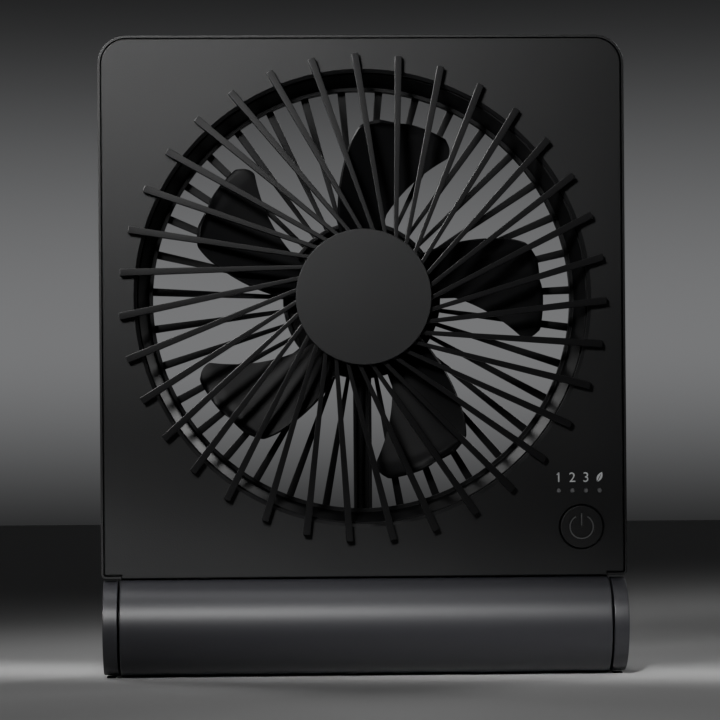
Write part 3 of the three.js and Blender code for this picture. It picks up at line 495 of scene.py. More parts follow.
    def finish(self, name: str, place: Vector, finish: Finish, body: Rides,
               stands_for: Sequence[str] = (), sharp: float = 30) -> bpy.types.Object:
        """Make the finished piece.

        Args:
            name: The piece's name.
            place: Its place in metres.
            finish: Its surface.
            body: What it moves with.
            stands_for: CAD nodes that it replaces.
            sharp: Edges that turn by more than this many degrees stay crisp.

        Returns:
            The piece.
        """
        bmesh.ops.scale(self.bm, vec=(MM, MM, MM), verts=self.bm.verts)
        self.move(*place)
        for face in self.bm.faces:
            face.smooth = True
        for edge in self.bm.edges:
            edge.smooth = edge.is_manifold and edge.calc_face_angle(0) < math.radians(sharp)
        mesh = bpy.data.meshes.new(name)
        self.bm.to_mesh(mesh)
        self.bm.free()
        made = bpy.data.objects.new(name, mesh)
        bpy.context.collection.objects.link(made)
        mesh.materials.append(finish.material())
        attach(made, body.value)
        flat = made.modifiers.new("flat faces", "WEIGHTED_NORMAL")
        flat.keep_sharp = True
        if stands_for:
            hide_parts(*stands_for)
        LOG.info("%s: %d faces, %s", name, len(mesh.polygons), finish.name)
        return made

    def fit(self, node: str, place: Vector, finish: Finish, body: Rides,
            sharp: float = 30) -> bpy.types.Object:
        """Make the finished piece that stands for one CAD node."""
        return self.finish(f"{node}_fine", place, finish, body, [node], sharp)


def dress(finish: Finish, *nodes: str) -> None:
    """Give CAD nodes that keep their own shape a finish."""
    for node in nodes:
        target = frame["nodes"][node]
        target.data.materials.clear()
        target.data.materials.append(finish.material())
        LOG.info("%s: CAD shape, %s", node, finish.name)


# -------- casing


@dataclass
class Casing:
    """Front plate and rear shell of the head, in millimetres about the fan's axis."""

    half_width: float = 75.0
    top: float = 74.9
    bottom: float = -79.5
    corner: float = 8.3
    foot: float = 1.4
    skirt: float = 69.6
    front: float = -4.0
    thickness: float = 2.0
    rear: float = 9.1
    rim: float = 0.65
    groove: float = 0.35
    setback: float = 0.35
    wall: float = 1.6
    chamfer: float = 0.3
    opening: float = 65.25
    opening_chamfer: float = 0.9
    chamfer_depth: float = 0.95
    hinge_drop: float = 93.5
    plate_seat: float = -1.7
    cavity_front: float = -2.2
    rear_rounding: float = 1.3
    rim_rounding: float = 0.15
    air_radius: float = 61.6
    barrel_seat: float = 14.2
    port_half: tuple[float, float] = (4.75, 1.75)
    port_corner: float = 1.7
    port_y: float = 1.5
    seat_floor: float = 7.4
    seat_radius: float = 2.3
    screws: tuple[tuple[float, float], ...] = ((66, 66.5), (-66, 66.5), (-69, -73.6), (69, -73.6))

    def corners(self, inset: float, skirt_bottom: float) -> list[tuple[float, float, float]]:
        """Return the head's outline moved inwards, with its step down onto the barrel."""
        half, top, bottom = self.half_width - inset, self.top - inset, self.bottom + inset
        upper, lower, skirt = self.corner - inset, max(self.foot - inset, 0.5), self.skirt - inset / 2
        right = [(skirt, skirt_bottom, 0), (skirt, bottom, 0), (half, bottom, lower), (half, top, upper)]
        return right + [(-x, z, radius) for x, z, radius in reversed(right)]

    def build(self) -> None:
        """Make both casings and the screws that join them."""
        self.front_plate()
        self.rear_shell()
        self.case_screws()

    def front_plate(self) -> None:
        """Flat plate with a chamfered opening and holes for the button and lamps."""
        work = Workpiece()
        inset = self.rim + self.groove
        y = self.front
        levels = [(y, self.chamfer), (y + 0.09, 0.09), (y + self.chamfer, 0), (y + self.thickness, 0)]
        foot = self.bottom + 0.05
        outlines = [work.outline(self.corners(inset + off, foot + off), at, 12) for at, off in levels]
        throat = self.opening - self.opening_chamfer
        holes = [self._hole(work, (0, 0), throat, self.opening_chamfer, self.chamfer_depth, 192)]
        controls = Controls()
        holes.append(self._hole(work, controls.button_at, controls.button_radius + 0.25, 0.3, 0.3, 96))
        for x in controls.lamp_places():
            holes.append(self._hole(work, (x, controls.lamp_z), controls.lamp_radius + 0.1, 0.05, 0.05, 20))
        for first, second in zip(outlines, outlines[1:]):
            work.bridge(first, second)
        work.fill(outlines[0] + [e for hole in holes for e in hole[0]])
        work.fill(outlines[-1] + [e for hole in holes for e in hole[-1]])
        work.clean()
        for post in [Workpiece.rod(2.4, -2.0, 4.5, steps=24).move(x, 0, z) for x, z in self.screws]:
            work.add(post)
        work.fit("front_plate", FAN_PLACE, MATT, Rides.HEAD, sharp=15)

    def _hole(self, work: Workpiece, at: tuple[float, float], radius: float, chamfer: float, depth: float,
              steps: int) -> list:
        """Make a round hole's wall and its chamfer.

        Args:
            work: The plate.
            at: The hole's place in X and Z.
            radius: The hole's radius behind the chamfer.
            chamfer: How much wider the hole is at the front.
            depth: How deep the chamfer goes.
            steps: Sides of the circle.

        Returns:
            The hole's loops of edges, from front to back.
        """
        y = self.front
        levels = [(y, radius + chamfer), (y + depth, radius), (y + self.thickness, radius)]
        loops = [work.circle(*at, size, level, steps) for level, size in levels]
        for first, second in zip(loops, loops[1:]):
            work.bridge(first, second)
        return loops

    def rear_shell(self) -> None:
        """Open box with rounded rear edges that sits on the barrel."""
        y = self.front + self.setback
        shell = Workpiece.prism(self.corners(0, -84), y, self.rear, 12)
        rear = [e for e in shell.bm.edges if all(v.co.y > self.rear - 0.01 for v in e.verts)]
        shell.round_edges(rear, self.rear_rounding, 4)
        front = [e for e in shell.bm.edges if all(v.co.y < y + 0.01 for v in e.verts)]
        shell.round_edges(front, self.rim_rounding, 2)
        rebate = Workpiece.prism(self.corners(self.rim, -85), y - 1, self.plate_seat, 12)
        hollow = self.corners(self.wall, self.bottom + 2.5)
        cavity = Workpiece.prism(hollow, self.cavity_front, self.rear - self.wall, 12)
        air = Workpiece.rod(self.air_radius, 5, 12, steps=160)
        seats = [Workpiece.rod(self.seat_radius, self.seat_floor, 12, steps=32).move(x, 0, z)
                 for x, z in self.screws]
        barrel = Workpiece.rod(self.barrel_seat, -80, 80, X_AXIS, 144).move(z=-self.hinge_drop)
        length, height = self.port_half
        corners = [(-length, -height), (length, -height), (length, height), (-length, height)]
        slot = Workpiece.prism([(x, z, self.port_corner) for x, z in corners], -4, 4, 8)
        slot.turn(Y_AXIS, 90).turn(Z_AXIS, 90).move(self.half_width, self.port_y, Controls().button_at[1])
        shell.carve(rebate, cavity, barrel, air, *seats, slot)
        shell.fit("rear_shell", FAN_PLACE, MATT, Rides.HEAD, sharp=25)

    def case_screws(self) -> None:
        """Cross-head screws in their seats at the rear."""
        for number, (x, z) in enumerate(self.screws, 1):
            screw = Workpiece.turned([
                (0, -0.6), (0.9, -0.6), (0.9, 7.7), (2.0, 7.7), (2.0, 8.5), (1.7, 8.8), (0, 8.8),
            ], steps=32)
            arms = [Workpiece.block((-a, 8.1, -b), (a, 9.5, b)) for a, b in ((1.15, 0.22), (0.22, 1.15))]
            screw.carve(*arms).move(x, 0, z)
            screw.fit(f"case_screw_{number}", FAN_PLACE, BLACK_STEEL, Rides.HEAD)


# -------- air path


@dataclass
class FrontGrille:
    """Slanted bars that run from the plate up to a raised hub."""

    bars: int = 35
    tip_radius: float = 69.4
    offset: float = 9.0
    tip_angle: float = 9.3
    tip_width: float = 2.0
    root_width: float = 1.1
    flat: float = 2.7
    front_at_tip: float = -6.2
    front_at_root: float = -7.8
    back_at_tip: float = -4.3
    back_at_root: float = -5.6
    hub_radius: float = 18.9
    cap_radius: float = 19.3
    cap_front: float = -9.2
    cap_back: float = -8.1

    def build(self) -> None:
        """Make the grille and the cap on its hub."""
        tip = math.sqrt(self.tip_radius ** 2 - self.offset ** 2)
        root = math.sqrt((self.hub_radius - 1.2) ** 2 - self.offset ** 2)
        bar = self._bar(root, tip).soften(0.13, 2).move(z=-self.offset)
        lean = math.degrees(math.asin(self.offset / self.tip_radius))
        bar.repeat([-(self.tip_angle + lean + i * 360 / self.bars) for i in range(self.bars)])
        hub = Workpiece.tube(3.3, self.hub_radius, self.front_at_root, self.back_at_root + 0.4)
        pegs = Workpiece.rod(0.8, -4.6, -1.4, steps=16)
        pegs.move(x=self.tip_radius - self.flat / 2)
        pegs.repeat([-(self.tip_angle + i * 360 / 7) for i in range(7)])
        bar.add(hub).add(pegs)
        bar.fit("front_grille", FAN_PLACE, BARS, Rides.HEAD, sharp=35)
        cap = Workpiece.turned([
            (0, self.cap_front), (self.cap_radius, self.cap_front), (self.cap_radius, self.cap_back),
            (3, self.cap_back), (3, self.back_at_root), (0, self.back_at_root),
        ], steps=128).soften(0.22, 3)
        cap.fit("hub_cap", FAN_PLACE, CAP_MATT, Rides.HEAD)

    def _bar(self, root: float, tip: float) -> Workpiece:
        """Return one tapering bar along X: a flat stretch at its tip, then a rise to its root."""
        work = Workpiece.block((tip - self.flat, self.front_at_tip, -self.tip_width / 2),
                               (tip, self.back_at_tip, self.tip_width / 2))
        inner = min(work.bm.faces, key=lambda face: face.calc_center_median().x)
        rise = self.front_at_root - self.front_at_tip
        depth = (self.back_at_root - self.front_at_root) / (self.back_at_tip - self.front_at_tip)
        self._pull(work, inner, root - tip + self.flat, rise, depth, self.root_width / self.tip_width)
        return work.clean()

    def _pull(self, work: Workpiece, face: Any, length: float, rise: float, depth: float,
              width: float) -> None:
        """Pull a section along X, scale it about its front edge and raise it.

        Args:
            work: The bar.
            face: The face at its inner end.
            length: How far along X the new section lies.
            rise: How far it moves along Y.
            depth: Its size along Y, as a share of the first section's.
            width: Its size along Z, as a share of the first section's.
        """
        grown = bmesh.ops.extrude_face_region(work.bm, geom=[face])["geom"]
        fresh = next(g for g in grown if isinstance(g, bmesh.types.BMFace))
        if face.is_valid:
            bmesh.ops.delete(work.bm, geom=[face], context="FACES_ONLY")
        bmesh.ops.translate(work.bm, vec=(length, 0, 0), verts=fresh.verts)
        anchor = Matrix.Translation((0, -self.front_at_tip, 0))
        bmesh.ops.scale(work.bm, vec=(1, depth, width), space=anchor, verts=fresh.verts)
        bmesh.ops.translate(work.bm, vec=(0, rise, 0), verts=fresh.verts)


@dataclass
class RearGrille:
    """Straight radial bars, a motor cup in the middle and a wide spoke for the lead."""

    bars: int = 35
    front: float = 6.8
    back: float = 8.8
    rim_inner: float = 60.1
    rim_outer: float = 61.3
    flange: float = 63.5
    cup: float = 22.6
    cup_wall: float = 1.2
    cup_front: float = 5.2
    cup_floor: float = 7.3
    rim_width: float = 2.2
    hub_width: float = 1.1
    spoke_width: float = 5.2
    spoke_front: float = 6.2
    channel_width: float = 3.4
    channel_floor: float = 7.6
    lap: float = 0.6

    def build(self) -> None:
        """Make the duct and the grille behind the impeller."""
        self.duct()
        bar = Workpiece.block((self.cup - self.lap, self.front, -self.rim_width / 2),
                              (self.rim_inner + self.lap, self.back, self.rim_width / 2))
        inner = [v for v in bar.bm.verts if v.co.x < self.cup]
        bmesh.ops.scale(bar.bm, vec=(1, 1, self.hub_width / self.rim_width), verts=inner)
        bar.soften(0.18, 2)
        bar.repeat([90 - (i + 1) * 360 / self.bars for i in range(self.bars - 1)])
        rim = Workpiece.turned([
            (self.rim_inner, 6.0), (self.flange, 6.0), (self.flange, 7.2),
            (self.rim_outer, 7.2), (self.rim_outer, self.back), (self.rim_inner, self.back),
        ], steps=144).soften(0.15, 2)
        inner_radius = self.cup - self.cup_wall
        cup = Workpiece.turned([
            (3.0, 0.6), (4.2, 0.6), (4.2, self.cup_floor), (inner_radius, self.cup_floor),
            (inner_radius, self.cup_front), (self.cup, self.cup_front), (self.cup, self.back),
            (0, self.back), (0, self.cup_floor), (3.0, self.cup_floor),
        ], steps=96).soften(0.2, 2)
        bar.add(rim).add(cup).add(self._spoke())
        bar.fit("rear_grille", FAN_PLACE, GLOSS, Rides.HEAD, sharp=35)

    def _spoke(self) -> Workpiece:
        """Return the wide spoke: a floor and two walls with the lead between them."""
        half, inner = self.spoke_width / 2, self.channel_width / 2
        section = [(half, self.back), (half, self.spoke_front), (inner, self.spoke_front),
                   (inner, self.channel_floor)]
        corners = [(x, y, 0) for x, y in section] + [(-x, y, 0) for x, y in reversed(section)]
        spoke = Workpiece.prism(corners, self.cup - self.lap, self.rim_inner + self.lap)
        return spoke.turn(X_AXIS, -90).soften(0.12, 2, 60)

    def duct(self) -> None:
        """Cone from the opening down to the throat, with a small step at its lip."""
        duct = Workpiece.turned([
            (63.9, -1.7), (61.0, 4.2), (59.9, 4.2), (59.9, 5.7),
            (63.5, 5.7), (63.5, 2.0), (66.6, -1.7),
        ], steps=192).soften(0.12, 2, 40)
        duct.fit("duct_ring", FAN_PLACE, GLOSS, Rides.HEAD, sharp=28)


@dataclass
class Impeller:
    """Five broad blades with hooked leading corners on a round hub."""

    blades: int = 5
    first_angle: float = 58.4
    radius: float = 51.2
    hub: float = 17.5
    hook: float = 47.3
    shoulder: float = 44.0
    rear: float = 4.6
    front: float = -2.9
    thickness: float = 1.1
    hub_front: float = -3.4
    hub_back: float = 4.4
    hub_wall: float = 1.3
    hook_fall: float = 4.5
    lead_slope: float = 0.71
    chord: float = 36.2
    trail_slope: float = 0.62
    camber: float = 1.1
    chord_steps: int = 20
    radial_steps: int = 40

    def build(self) -> None:
        """Make the hub and its blades."""
        blade = self._blade()
        blade.repeat([-(self.first_angle + i * 360 / self.blades) for i in range(self.blades)])
        inner = self.hub - self.hub_wall
        hub = Workpiece.turned([
            (0, self.hub_front), (self.hub - 0.8, self.hub_front), (self.hub, -2.6),
            (self.hub, self.hub_back), (inner, self.hub_back), (inner, -2.0), (0, -2.0),
        ], steps=96).soften(0.3, 3)
        blade.add(hub)
        blade.fit("impeller", FAN_PLACE, BLADE, Rides.FAN, sharp=40)

    def _leading(self, radius: float) -> float:
        """Return the leading edge's angle in degrees from the hooked corner."""
        if radius > self.hook:
            over = (radius - self.hook) / (self.radius - self.hook)
            return self.hook_fall * (1 - math.sqrt(max(0.0, 1 - over ** 2)))
        return self.lead_slope * (self.hook - radius)

    def _trailing(self, radius: float) -> float:
        """Return the trailing edge's angle in degrees from the hooked corner."""
        over = max(0.0, radius - self.shoulder)
        straight = self.chord - self.trail_slope * (radius - self.shoulder)
        return straight - 0.03 * over ** 2 - 1.6 * max(0.0, over - 5.2) ** 1.5

    def _blade(self) -> Workpiece:
        """Bend a flat grid onto the blade's surface and give it its thickness."""
        work = Workpiece()
        bmesh.ops.create_grid(work.bm, x_segments=self.radial_steps, y_segments=self.chord_steps, size=0.5)
        inner = self.hub - 1.0
        for vert in work.bm.verts:
            out, along = vert.co.x + 0.5, vert.co.y + 0.5
            radius = inner + (self.radius - inner) * (1 - (1 - out) ** 1.6)
            start, end = self._leading(radius), self._trailing(radius)
            angle = math.radians(start + along * (end - start))
            rise = along * (self.front + 0.7 - self.rear) + self.camber * math.sin(math.pi * along)
            depth = min(self.rear - 0.7 + rise, self.rear - 0.6)
            vert.co = (radius * math.cos(angle), depth, radius * math.sin(angle))
        bmesh.ops.recalc_face_normals(work.bm, faces=work.bm.faces)
        bmesh.ops.solidify(work.bm, geom=work.bm.faces[:], thickness=self.thickness)
        return work.clean().soften(0.25, 2, 60)


# -------- controls


@dataclass
class Controls:
    """Power button, lamps and the marks above them, about the fan's axis."""

    button_at: tuple[float, float] = (62.0, -65.7)
    button_radius: float = 6.1
    sign_radius: float = 3.33
    sign_width: float = 1.1
    sign_line: float = 0.36
    sign_depth: float = 0.3
    sign_gap: float = 29.0
    stem: tuple[float, float] = (0.55, 3.75)
    front: float = -4.0
    lamp_first: float = 55.5
    lamp_pitch: float = 3.9
    lamp_z: float = -55.3
    lamp_radius: float = 0.6
    lamps: int = 4
    mark_z: float = -51.5
    mark_height: float = 2.8

    def lamp_places(self) -> list[float]:
        """Return the lamps' places along X."""
        return [self.lamp_first + i * self.lamp_pitch for i in range(self.lamps)]

    def build(self) -> None:
        """Make every control."""
        self.button()
        self.light_guide()
        for number, x in enumerate(self.lamp_places()[:3], 1):
            self.numeral(str(number), x)
        self.leaf(self.lamp_places()[3])

    def button(self) -> None:
        """Round button with a grooved power sign and a pale strip along the groove's floor, a painted
        highlight for the light that the groove's edges catch.
        """
        button = Workpiece.turned([
            (0, self.front), (self.button_radius, self.front), (self.button_radius, -1.7),
            (7.2, -1.7), (7.2, -0.9), (0, -0.9),
        ], steps=96).soften(0.26, 4)
        floor = self.front + self.sign_depth
        cutters = self._sign(self.sign_width / 2, self.front - 1, floor)
        button.carve(*cutters).move(self.button_at[0], 0, self.button_at[1])
        button.fit("power_button", FAN_PLACE, MATT, Rides.BUTTON, sharp=25)
        # Pale strip on the groove's floor: painted highlight in place of the light along the groove's edges.
        line = Workpiece()
        for piece in self._sign(self.sign_line / 2, floor - 0.12, floor + 0.05):
            line.add(piece)
        line.move(self.button_at[0], 0, self.button_at[1])
        line.finish("power_sign_highlight", FAN_PLACE, SIGN_HIGHLIGHT, Rides.BUTTON, sharp=25)

    def _sign(self, half: float, front: float, back: float) -> list[Workpiece]:
        """Return the sign's open ring and its stem, each pulled between two depths."""
        radius, reach = self.sign_radius, self.button_radius * 1.6
        arc = Workpiece.tube(radius - half, radius + half, front, back)
        side = reach * math.tan(math.radians(self.sign_gap))
        arc.carve(Workpiece.prism([(0, 0, 0), (side, reach, 0), (-side, reach, 0)], front - 1, back + 1))
        low, high = self.stem
        corners = [(-half, low - half), (half, low - half), (half, high + half), (-half, high + half)]
        return [arc, Workpiece.prism([(x, z, half * 0.98) for x, z in corners], front, back, 8)]

    def light_guide(self) -> None:
        """Carrier bar with four clear pins that end flush with the plate."""
        first, last = self.lamp_places()[0], self.lamp_places()[-1]
        guide = Workpiece.block((first - 1.4, -1.6, self.lamp_z - 1.2), (last + 1.4, -0.4, self.lamp_z + 1.2))
        for x in self.lamp_places():
            pin = Workpiece.rod(self.lamp_radius, self.front + 0.05, -1, steps=24)
            guide.add(pin.move(x, 0, self.lamp_z))
        guide.fit("light_guide", FAN_PLACE, LENS, Rides.HEAD)

    def numeral(self, text: str, x: float) -> None:
        """Print one speed number above its lamp."""
        curve = bpy.data.curves.new(f"numeral_{text}", "FONT")
        curve.body, curve.size, curve.align_x = text, self.mark_height * 1.42, "CENTER"
        curve.resolution_u = 6
        curve.offset = 0.003
        text_object = bpy.data.objects.new("loose", curve)
        bpy.context.collection.objects.link(text_object)
        bpy.context.view_layer.update()
        mesh = bpy.data.meshes.new_from_object(text_object)
        bpy.data.objects.remove(text_object)
        work = Workpiece()
        work.bm.from_mesh(mesh)
        work.turn(X_AXIS, 90)
        if text == "1":
            flag = Workpiece()
            bmesh.ops.create_grid(flag.bm, x_segments=1, y_segments=1, size=0.5)
            bmesh.ops.scale(flag.bm, vec=(0.75, 0.3, 1), verts=flag.bm.verts)
            top = max(v.co.z for v in work.bm.verts)
            work.add(flag.turn(X_AXIS, 90).turn(Y_AXIS, -35).move(-0.25, 0, top - 0.42))
        low = min(v.co.z for v in work.bm.verts)
        high = max(v.co.z for v in work.bm.verts)
        work.move(x, 0, self.mark_z - (low + high) / 2)
        self._print(work, f"speed_mark_{text}")

    def leaf(self, x: float) -> None:
        """Print a plain leaf above the last lamp: a pointed oval with its rib left open."""
        work = Workpiece()
        half, size = 0.72, 1.6
        bmesh.ops.create_circle(work.bm, cap_ends=True, segments=40, radius=1)
        for vert in work.bm.verts:
            along = math.asin(max(-1, min(1, vert.co.y))) / (math.pi / 2)
            width = half * math.cos(along * math.pi / 2) ** 0.9
            side = 1 if vert.co.x >= 0 else -1
            vert.co = (side * width, 0, size * along)
        work.clean()
        rib = Workpiece.block((-0.1, -1, -size * 1.2), (0.1, 1, size * 0.5))
        work.thicken(work.bm.faces[:], 0.06).clean().carve(rib)
        work.turn(Y_AXIS, 27).move(x, self.front - 0.05, self.mark_z)
        work.finish("leaf_mark", FAN_PLACE, INK, Rides.HEAD)

    def _print(self, work: Workpiece, name: str) -> None:
        """Give a flat mark the thickness of print and lay it on the plate."""
        bmesh.ops.remove_doubles(work.bm, verts=work.bm.verts, dist=1e-4)
        work.thicken(work.bm.faces[:], 0.04).move(0, self.front - 0.03, 0).clean()
        work.finish(name, FAN_PLACE, INK, Rides.HEAD)


# -------- barrel and stand


@dataclass
class Barrel:
    """Round barrel along the head's foot, about the hinge axis."""

    radius: float = 13.9
    wall: float = 1.8
    half_length: float = 69.6

    def build(self) -> None:
        """Make the barrel."""
        inner, half = self.radius - self.wall, self.half_length
        tube = Workpiece.tube(inner, self.radius, -half, half, X_AXIS, 160).soften(0.35, 3)
        tube.fit("barrel_tube", HINGE_PLACE, SATIN, Rides.HEAD)


@dataclass
class Stand:
    """Flat stand with a round knuckle at each end of the barrel, about the hinge axis."""

    hinge_height: float = 14.1
    knuckle_start: float = 70.2
    knuckle_end: float = 74.4
    knuckle_radius: float = 13.4
    pin_hole: float = 2.1
    recess: float = 9.8
    cover_radius: float = 9.5
    washer_start: float = 69.3
    washer_end: float = 69.9
    washer_radius: float = 11.6
    washer_hole: float = 2.3
    foot_at: tuple[float, float] = (60.0, 148.0)
    foot_radius: float = 5.0
    foot_height: float = 0.9
    bottom: float = 1.2
    top: float = 4.5
    sheet_front: float = 10.9
    arm_front: float = 3.0
    rear: float = 160.0
    corner: float = 8.3

    def build(self) -> None:
        """Make the stand, its covers, washers and feet."""
        self.sheet()
        for side in ("right", "left"):
            self.knuckle(side)
            self.cover(side)
            self.washer(side)
            self.feet(side)

    def sheet(self) -> None:
        """Flat plate on the table with an arm under each knuckle."""
        right = [(self.knuckle_start, self.sheet_front, 0.8), (self.knuckle_start, self.arm_front, 0),
                 (self.knuckle_end, self.arm_front, 0), (self.knuckle_end, self.rear, self.corner)]
        outline = right + [(-x, y, radius) for x, y, radius in reversed(right)]
        sheet = Workpiece.prism(outline, -self.top, -self.bottom, 12).soften(0.5, 3, 60)
        sheet.turn(X_AXIS, 90)
        bmesh.ops.scale(sheet.bm, vec=(1, -1, 1), verts=sheet.bm.verts)
        sheet.clean()
        low = min(v.co.z for v in sheet.bm.verts)
        sheet.move(z=self.bottom - self.hinge_height - low)
        sheet.finish("stand_sheet", HINGE_PLACE, SATIN, Rides.STAND, ["stand_plate"])

    def knuckle(self, side: str) -> None:
        """Round end piece with a recess for its cover."""
        end, radius = self.knuckle_end, self.knuckle_radius
        knuckle = Workpiece.turned([
            (self.pin_hole, self.knuckle_start), (radius, self.knuckle_start), (radius, end),
            (self.recess, end), (self.recess, end - 1), (4.5, end - 1), (4.5, end - 2.1),
            (self.pin_hole, end - 2.1),
        ], X_AXIS, 128).soften(0.3, 3)
        knuckle.to_side(side)
        knuckle.finish(f"knuckle_{side}", HINGE_PLACE, SATIN, Rides.STAND)

    def cover(self, side: str) -> None:
        """Slightly domed cover in the knuckle's recess."""
        end = self.knuckle_end
        cover = Workpiece.turned([
            (0, end - 0.7), (self.cover_radius, end - 0.7), (self.cover_radius, end - 0.1),
            (6.5, end + 0.12), (3, end + 0.18), (0, end + 0.2),
        ], X_AXIS, 96).soften(0.15, 2)
        cover.to_side(side)
        cover.fit(f"end_cover_{side}", HINGE_PLACE, SATIN, Rides.STAND)

    def washer(self, side: str) -> None:
        """Thin friction ring between barrel and knuckle."""
        start, end = self.washer_start, self.washer_end
        washer = Workpiece.tube(self.washer_hole, self.washer_radius, start, end, X_AXIS, 128)
        washer.soften(0.1, 2).to_side(side)
        washer.fit(f"friction_washer_{side}", HINGE_PLACE, GLOSS, Rides.STAND)

    def feet(self, side: str) -> None:
        """Round rear foot and small front pad."""
        sign = 1 if side == "right" else -1
        out, back = self.foot_at
        rear = Workpiece.rod(self.foot_radius, 0, self.foot_height, Z_AXIS, 64).soften(0.2, 2)
        rear.move(sign * out, back, -self.hinge_height)
        rear.fit(f"rear_foot_{side}", HINGE_PLACE, RUBBER, Rides.STAND)
        top = self.hinge_height - self.knuckle_radius - 0.3
        pad = Workpiece.block((-1.3, -2.5, 0), (1.3, 2.5, top)).soften(0.12, 2)
        pad.move(sign * (self.knuckle_start + self.knuckle_end) / 2, 0, -self.hinge_height)
        pad.fit(f"front_foot_{side}", HINGE_PLACE, RUBBER, Rides.STAND)


# -------- inside and studio


class Internals:
    """Pieces inside the casings, which keep their own CAD shape."""

    steel = ("rotor_can", "motor_shaft", "stator_core", "charging_port", "magnet_ring")
    ends = ("barrel_screw", "hinge_pin", "battery_contact")

    def build(self) -> None:
        """Give every inside piece its finish."""
        dress(STEEL, *self.steel, *(f"{name}_{side}" for name in self.ends for side in ("right", "left")))
        dress(COPPER, *(f"stator_coil_{i}" for i in range(1, 7)))
        dress(BRONZE, "bearing_sleeve")
        dress(BOARD, "main_board", "motor_board")
        dress(WRAP, "battery_cell_right", "battery_cell_left")
        dress(GLOSS, "tact_switch", "motor_lead", "battery_lead")
        dress(MATT, "battery_cradle", "barrel_plug_right", "barrel_plug_left")
        dress(LENS, *(f"lamp_{i}" for i in range(1, 5)))


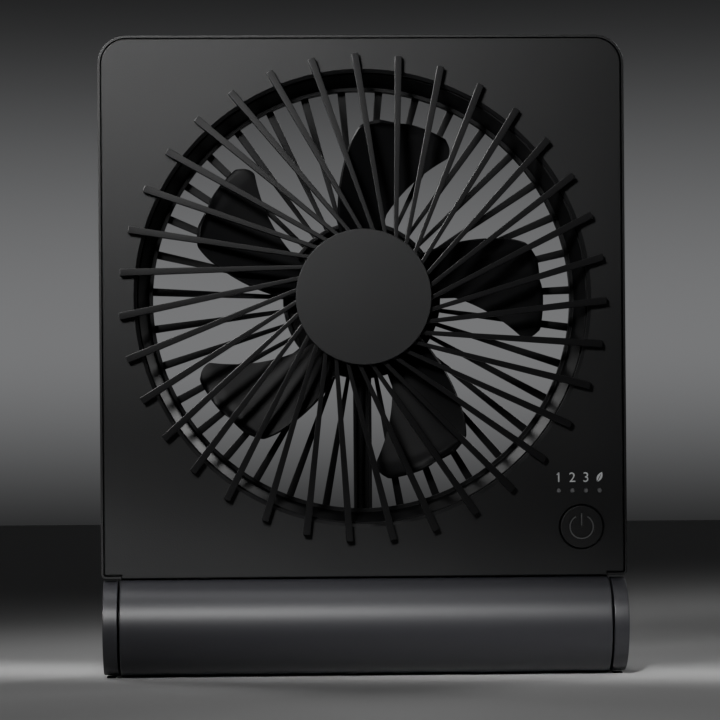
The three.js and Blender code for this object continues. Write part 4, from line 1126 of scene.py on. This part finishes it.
@dataclass
class Studio:
    """Plain floor, soft lights and the camera."""

    distance: float = 0.9
    view_width: float = 0.205
    aim_height: float = 0.0899
    aim_x: float = -0.0013
    eye_height: float = 0.05
    yaw: float = -2.2
    roll: float = 0.44
    glow: float = 0.17
    fill: float = 0.018
    glow_top: tuple[float, float] = (0.17, 0.05)
    glow_foot: tuple[float, float] = (-0.02, 0.05)
    glow_side: tuple[float, float] = (-0.2, 1.0)
    floor_half: float = 6.0
    floor_shade: float = 0.44
    plate_front: float = 0.004

    def build(self) -> None:
        """Set the scene around the fan."""
        self.floor()
        self.camera()
        self.light("key", (-0.26, -0.5, 0.3), (-0.04, 0, 0.1), (0.22, 0.22), 25, 0.22)
        self.light("strip", (-0.3, -0.9, 0.56), (-0.04, 0, -0.09), (0.8, 0.03), 3, 0.11)
        self.light("overhead", (-0.1, -0.12, 1.1), (0, -0.05, 0), (0.8, 0.1), 60, 0.26)
        self.light("rear_left", (-0.5, 0.62, 0.5), (0, 0, 0), (0.3, 0.3), 40, 0.13)
        self.light("rear_right", (0.5, 0.62, 0.42), (0, 0, 0), (0.3, 0.3), 40, 0.13)
        self.surroundings()

    def surroundings(self) -> None:
        """Dim even light with a soft glow low behind the fan."""
        world = bpy.data.worlds.new("studio")
        world.use_nodes = True
        bpy.context.scene.world = world
        tree = NodeTree(world.node_tree)
        direction = tree.node("ShaderNodeTexCoord", {}, {}).outputs["Generated"]
        axes = tree.node("ShaderNodeSeparateXYZ", {}, {"Vector": Wire(tree, direction)})
        behind, up = Wire(tree, axes.outputs["Y"]), Wire(tree, axes.outputs["Z"])
        glow = self.ramp(tree, up, *self.glow_top) * self.ramp(tree, up, *self.glow_foot)
        glow = glow * self.ramp(tree, behind, *self.glow_side)
        background = world.node_tree.nodes["Background"]
        background.inputs["Color"].default_value = (0.97, 0.98, 1, 1)
        tree.feed(background.inputs["Strength"], glow * self.glow + self.fill)

    def ramp(self, tree: NodeTree, value: Wire, start: float, end: float) -> Wire:
        """Return a smooth step from 0 at the start to 1 at the end."""
        inputs = {"Value": value, "From Min": start, "From Max": end}
        step = tree.node("ShaderNodeMapRange", {"interpolation_type": "SMOOTHSTEP"}, inputs)
        return Wire(tree, step.outputs[0])

    def floor(self) -> None:
        """Large pale floor."""
        bm = bmesh.new()
        bmesh.ops.create_grid(bm, x_segments=1, y_segments=1, size=self.floor_half)
        mesh = bpy.data.meshes.new("floor")
        bm.to_mesh(mesh)
        bm.free()
        floor = bpy.data.objects.new("floor", mesh)
        bpy.context.collection.objects.link(floor)
        tree = ShaderTree("pale_floor")
        tree.shader.inputs["Base Color"].default_value = (*[self.floor_shade] * 3, 1)
        tree.shader.inputs["Roughness"].default_value = 0.55
        mesh.materials.append(tree.material)

    def camera(self) -> None:
        """Long lens, level and a little below the fan's axis, shifted up to frame the head."""
        data = bpy.data.cameras.new("camera")
        data.sensor_width = 36
        data.lens = 36 * self.distance / self.view_width
        data.shift_y = (self.aim_height - self.eye_height) / self.view_width
        camera = bpy.data.objects.new("camera", data)
        bpy.context.collection.objects.link(camera)
        plate = FAN_PLACE.y - self.plate_front
        turn = math.radians(self.yaw)
        back = Vector((math.sin(turn), -math.cos(turn), 0))
        facing = (-back).to_track_quat("-Z", "Y").to_matrix().to_4x4()
        spin = Matrix.Rotation(math.radians(-self.roll), 4, "Z")
        eye = Vector((self.aim_x, plate, self.eye_height)) + back * self.distance
        camera.matrix_world = Matrix.Translation(eye) @ facing @ spin
        bpy.context.scene.camera = camera

    def light(self, name: str, offset: Sequence[float], aim: Sequence[float], size: Sequence[float],
              spread: float, power: float) -> None:
        """Add a soft rectangular light.

        Args:
            name: The light's name.
            offset: Its place from the fan's middle, in metres.
            aim: The place it faces, from the fan's middle.
            size: Its width and height.
            spread: How wide its beam is, in degrees.
            power: Its power in watts.
        """
        data = bpy.data.lights.new(name, "AREA")
        data.shape, data.size, data.size_y, data.energy = "RECTANGLE", size[0], size[1], power
        data.spread = math.radians(spread)
        light = bpy.data.objects.new(name, data)
        bpy.context.collection.objects.link(light)
        light.location = FAN_PLACE + Vector(offset)
        light.rotation_euler = (Vector(aim) - Vector(offset)).to_track_quat("-Z", "Y").to_euler()


def main() -> None:
    """Build every sub-assembly, then the studio."""
    logging.basicConfig(level=logging.INFO, format="%(message)s")
    parts = [Casing(), FrontGrille(), RearGrille(), Impeller(), Controls(), Barrel(), Stand(), Internals()]
    for part in parts:
        part.build()
        LOG.info("%s done", type(part).__name__)
    Studio().build()


if __name__ == "__main__":
    main()
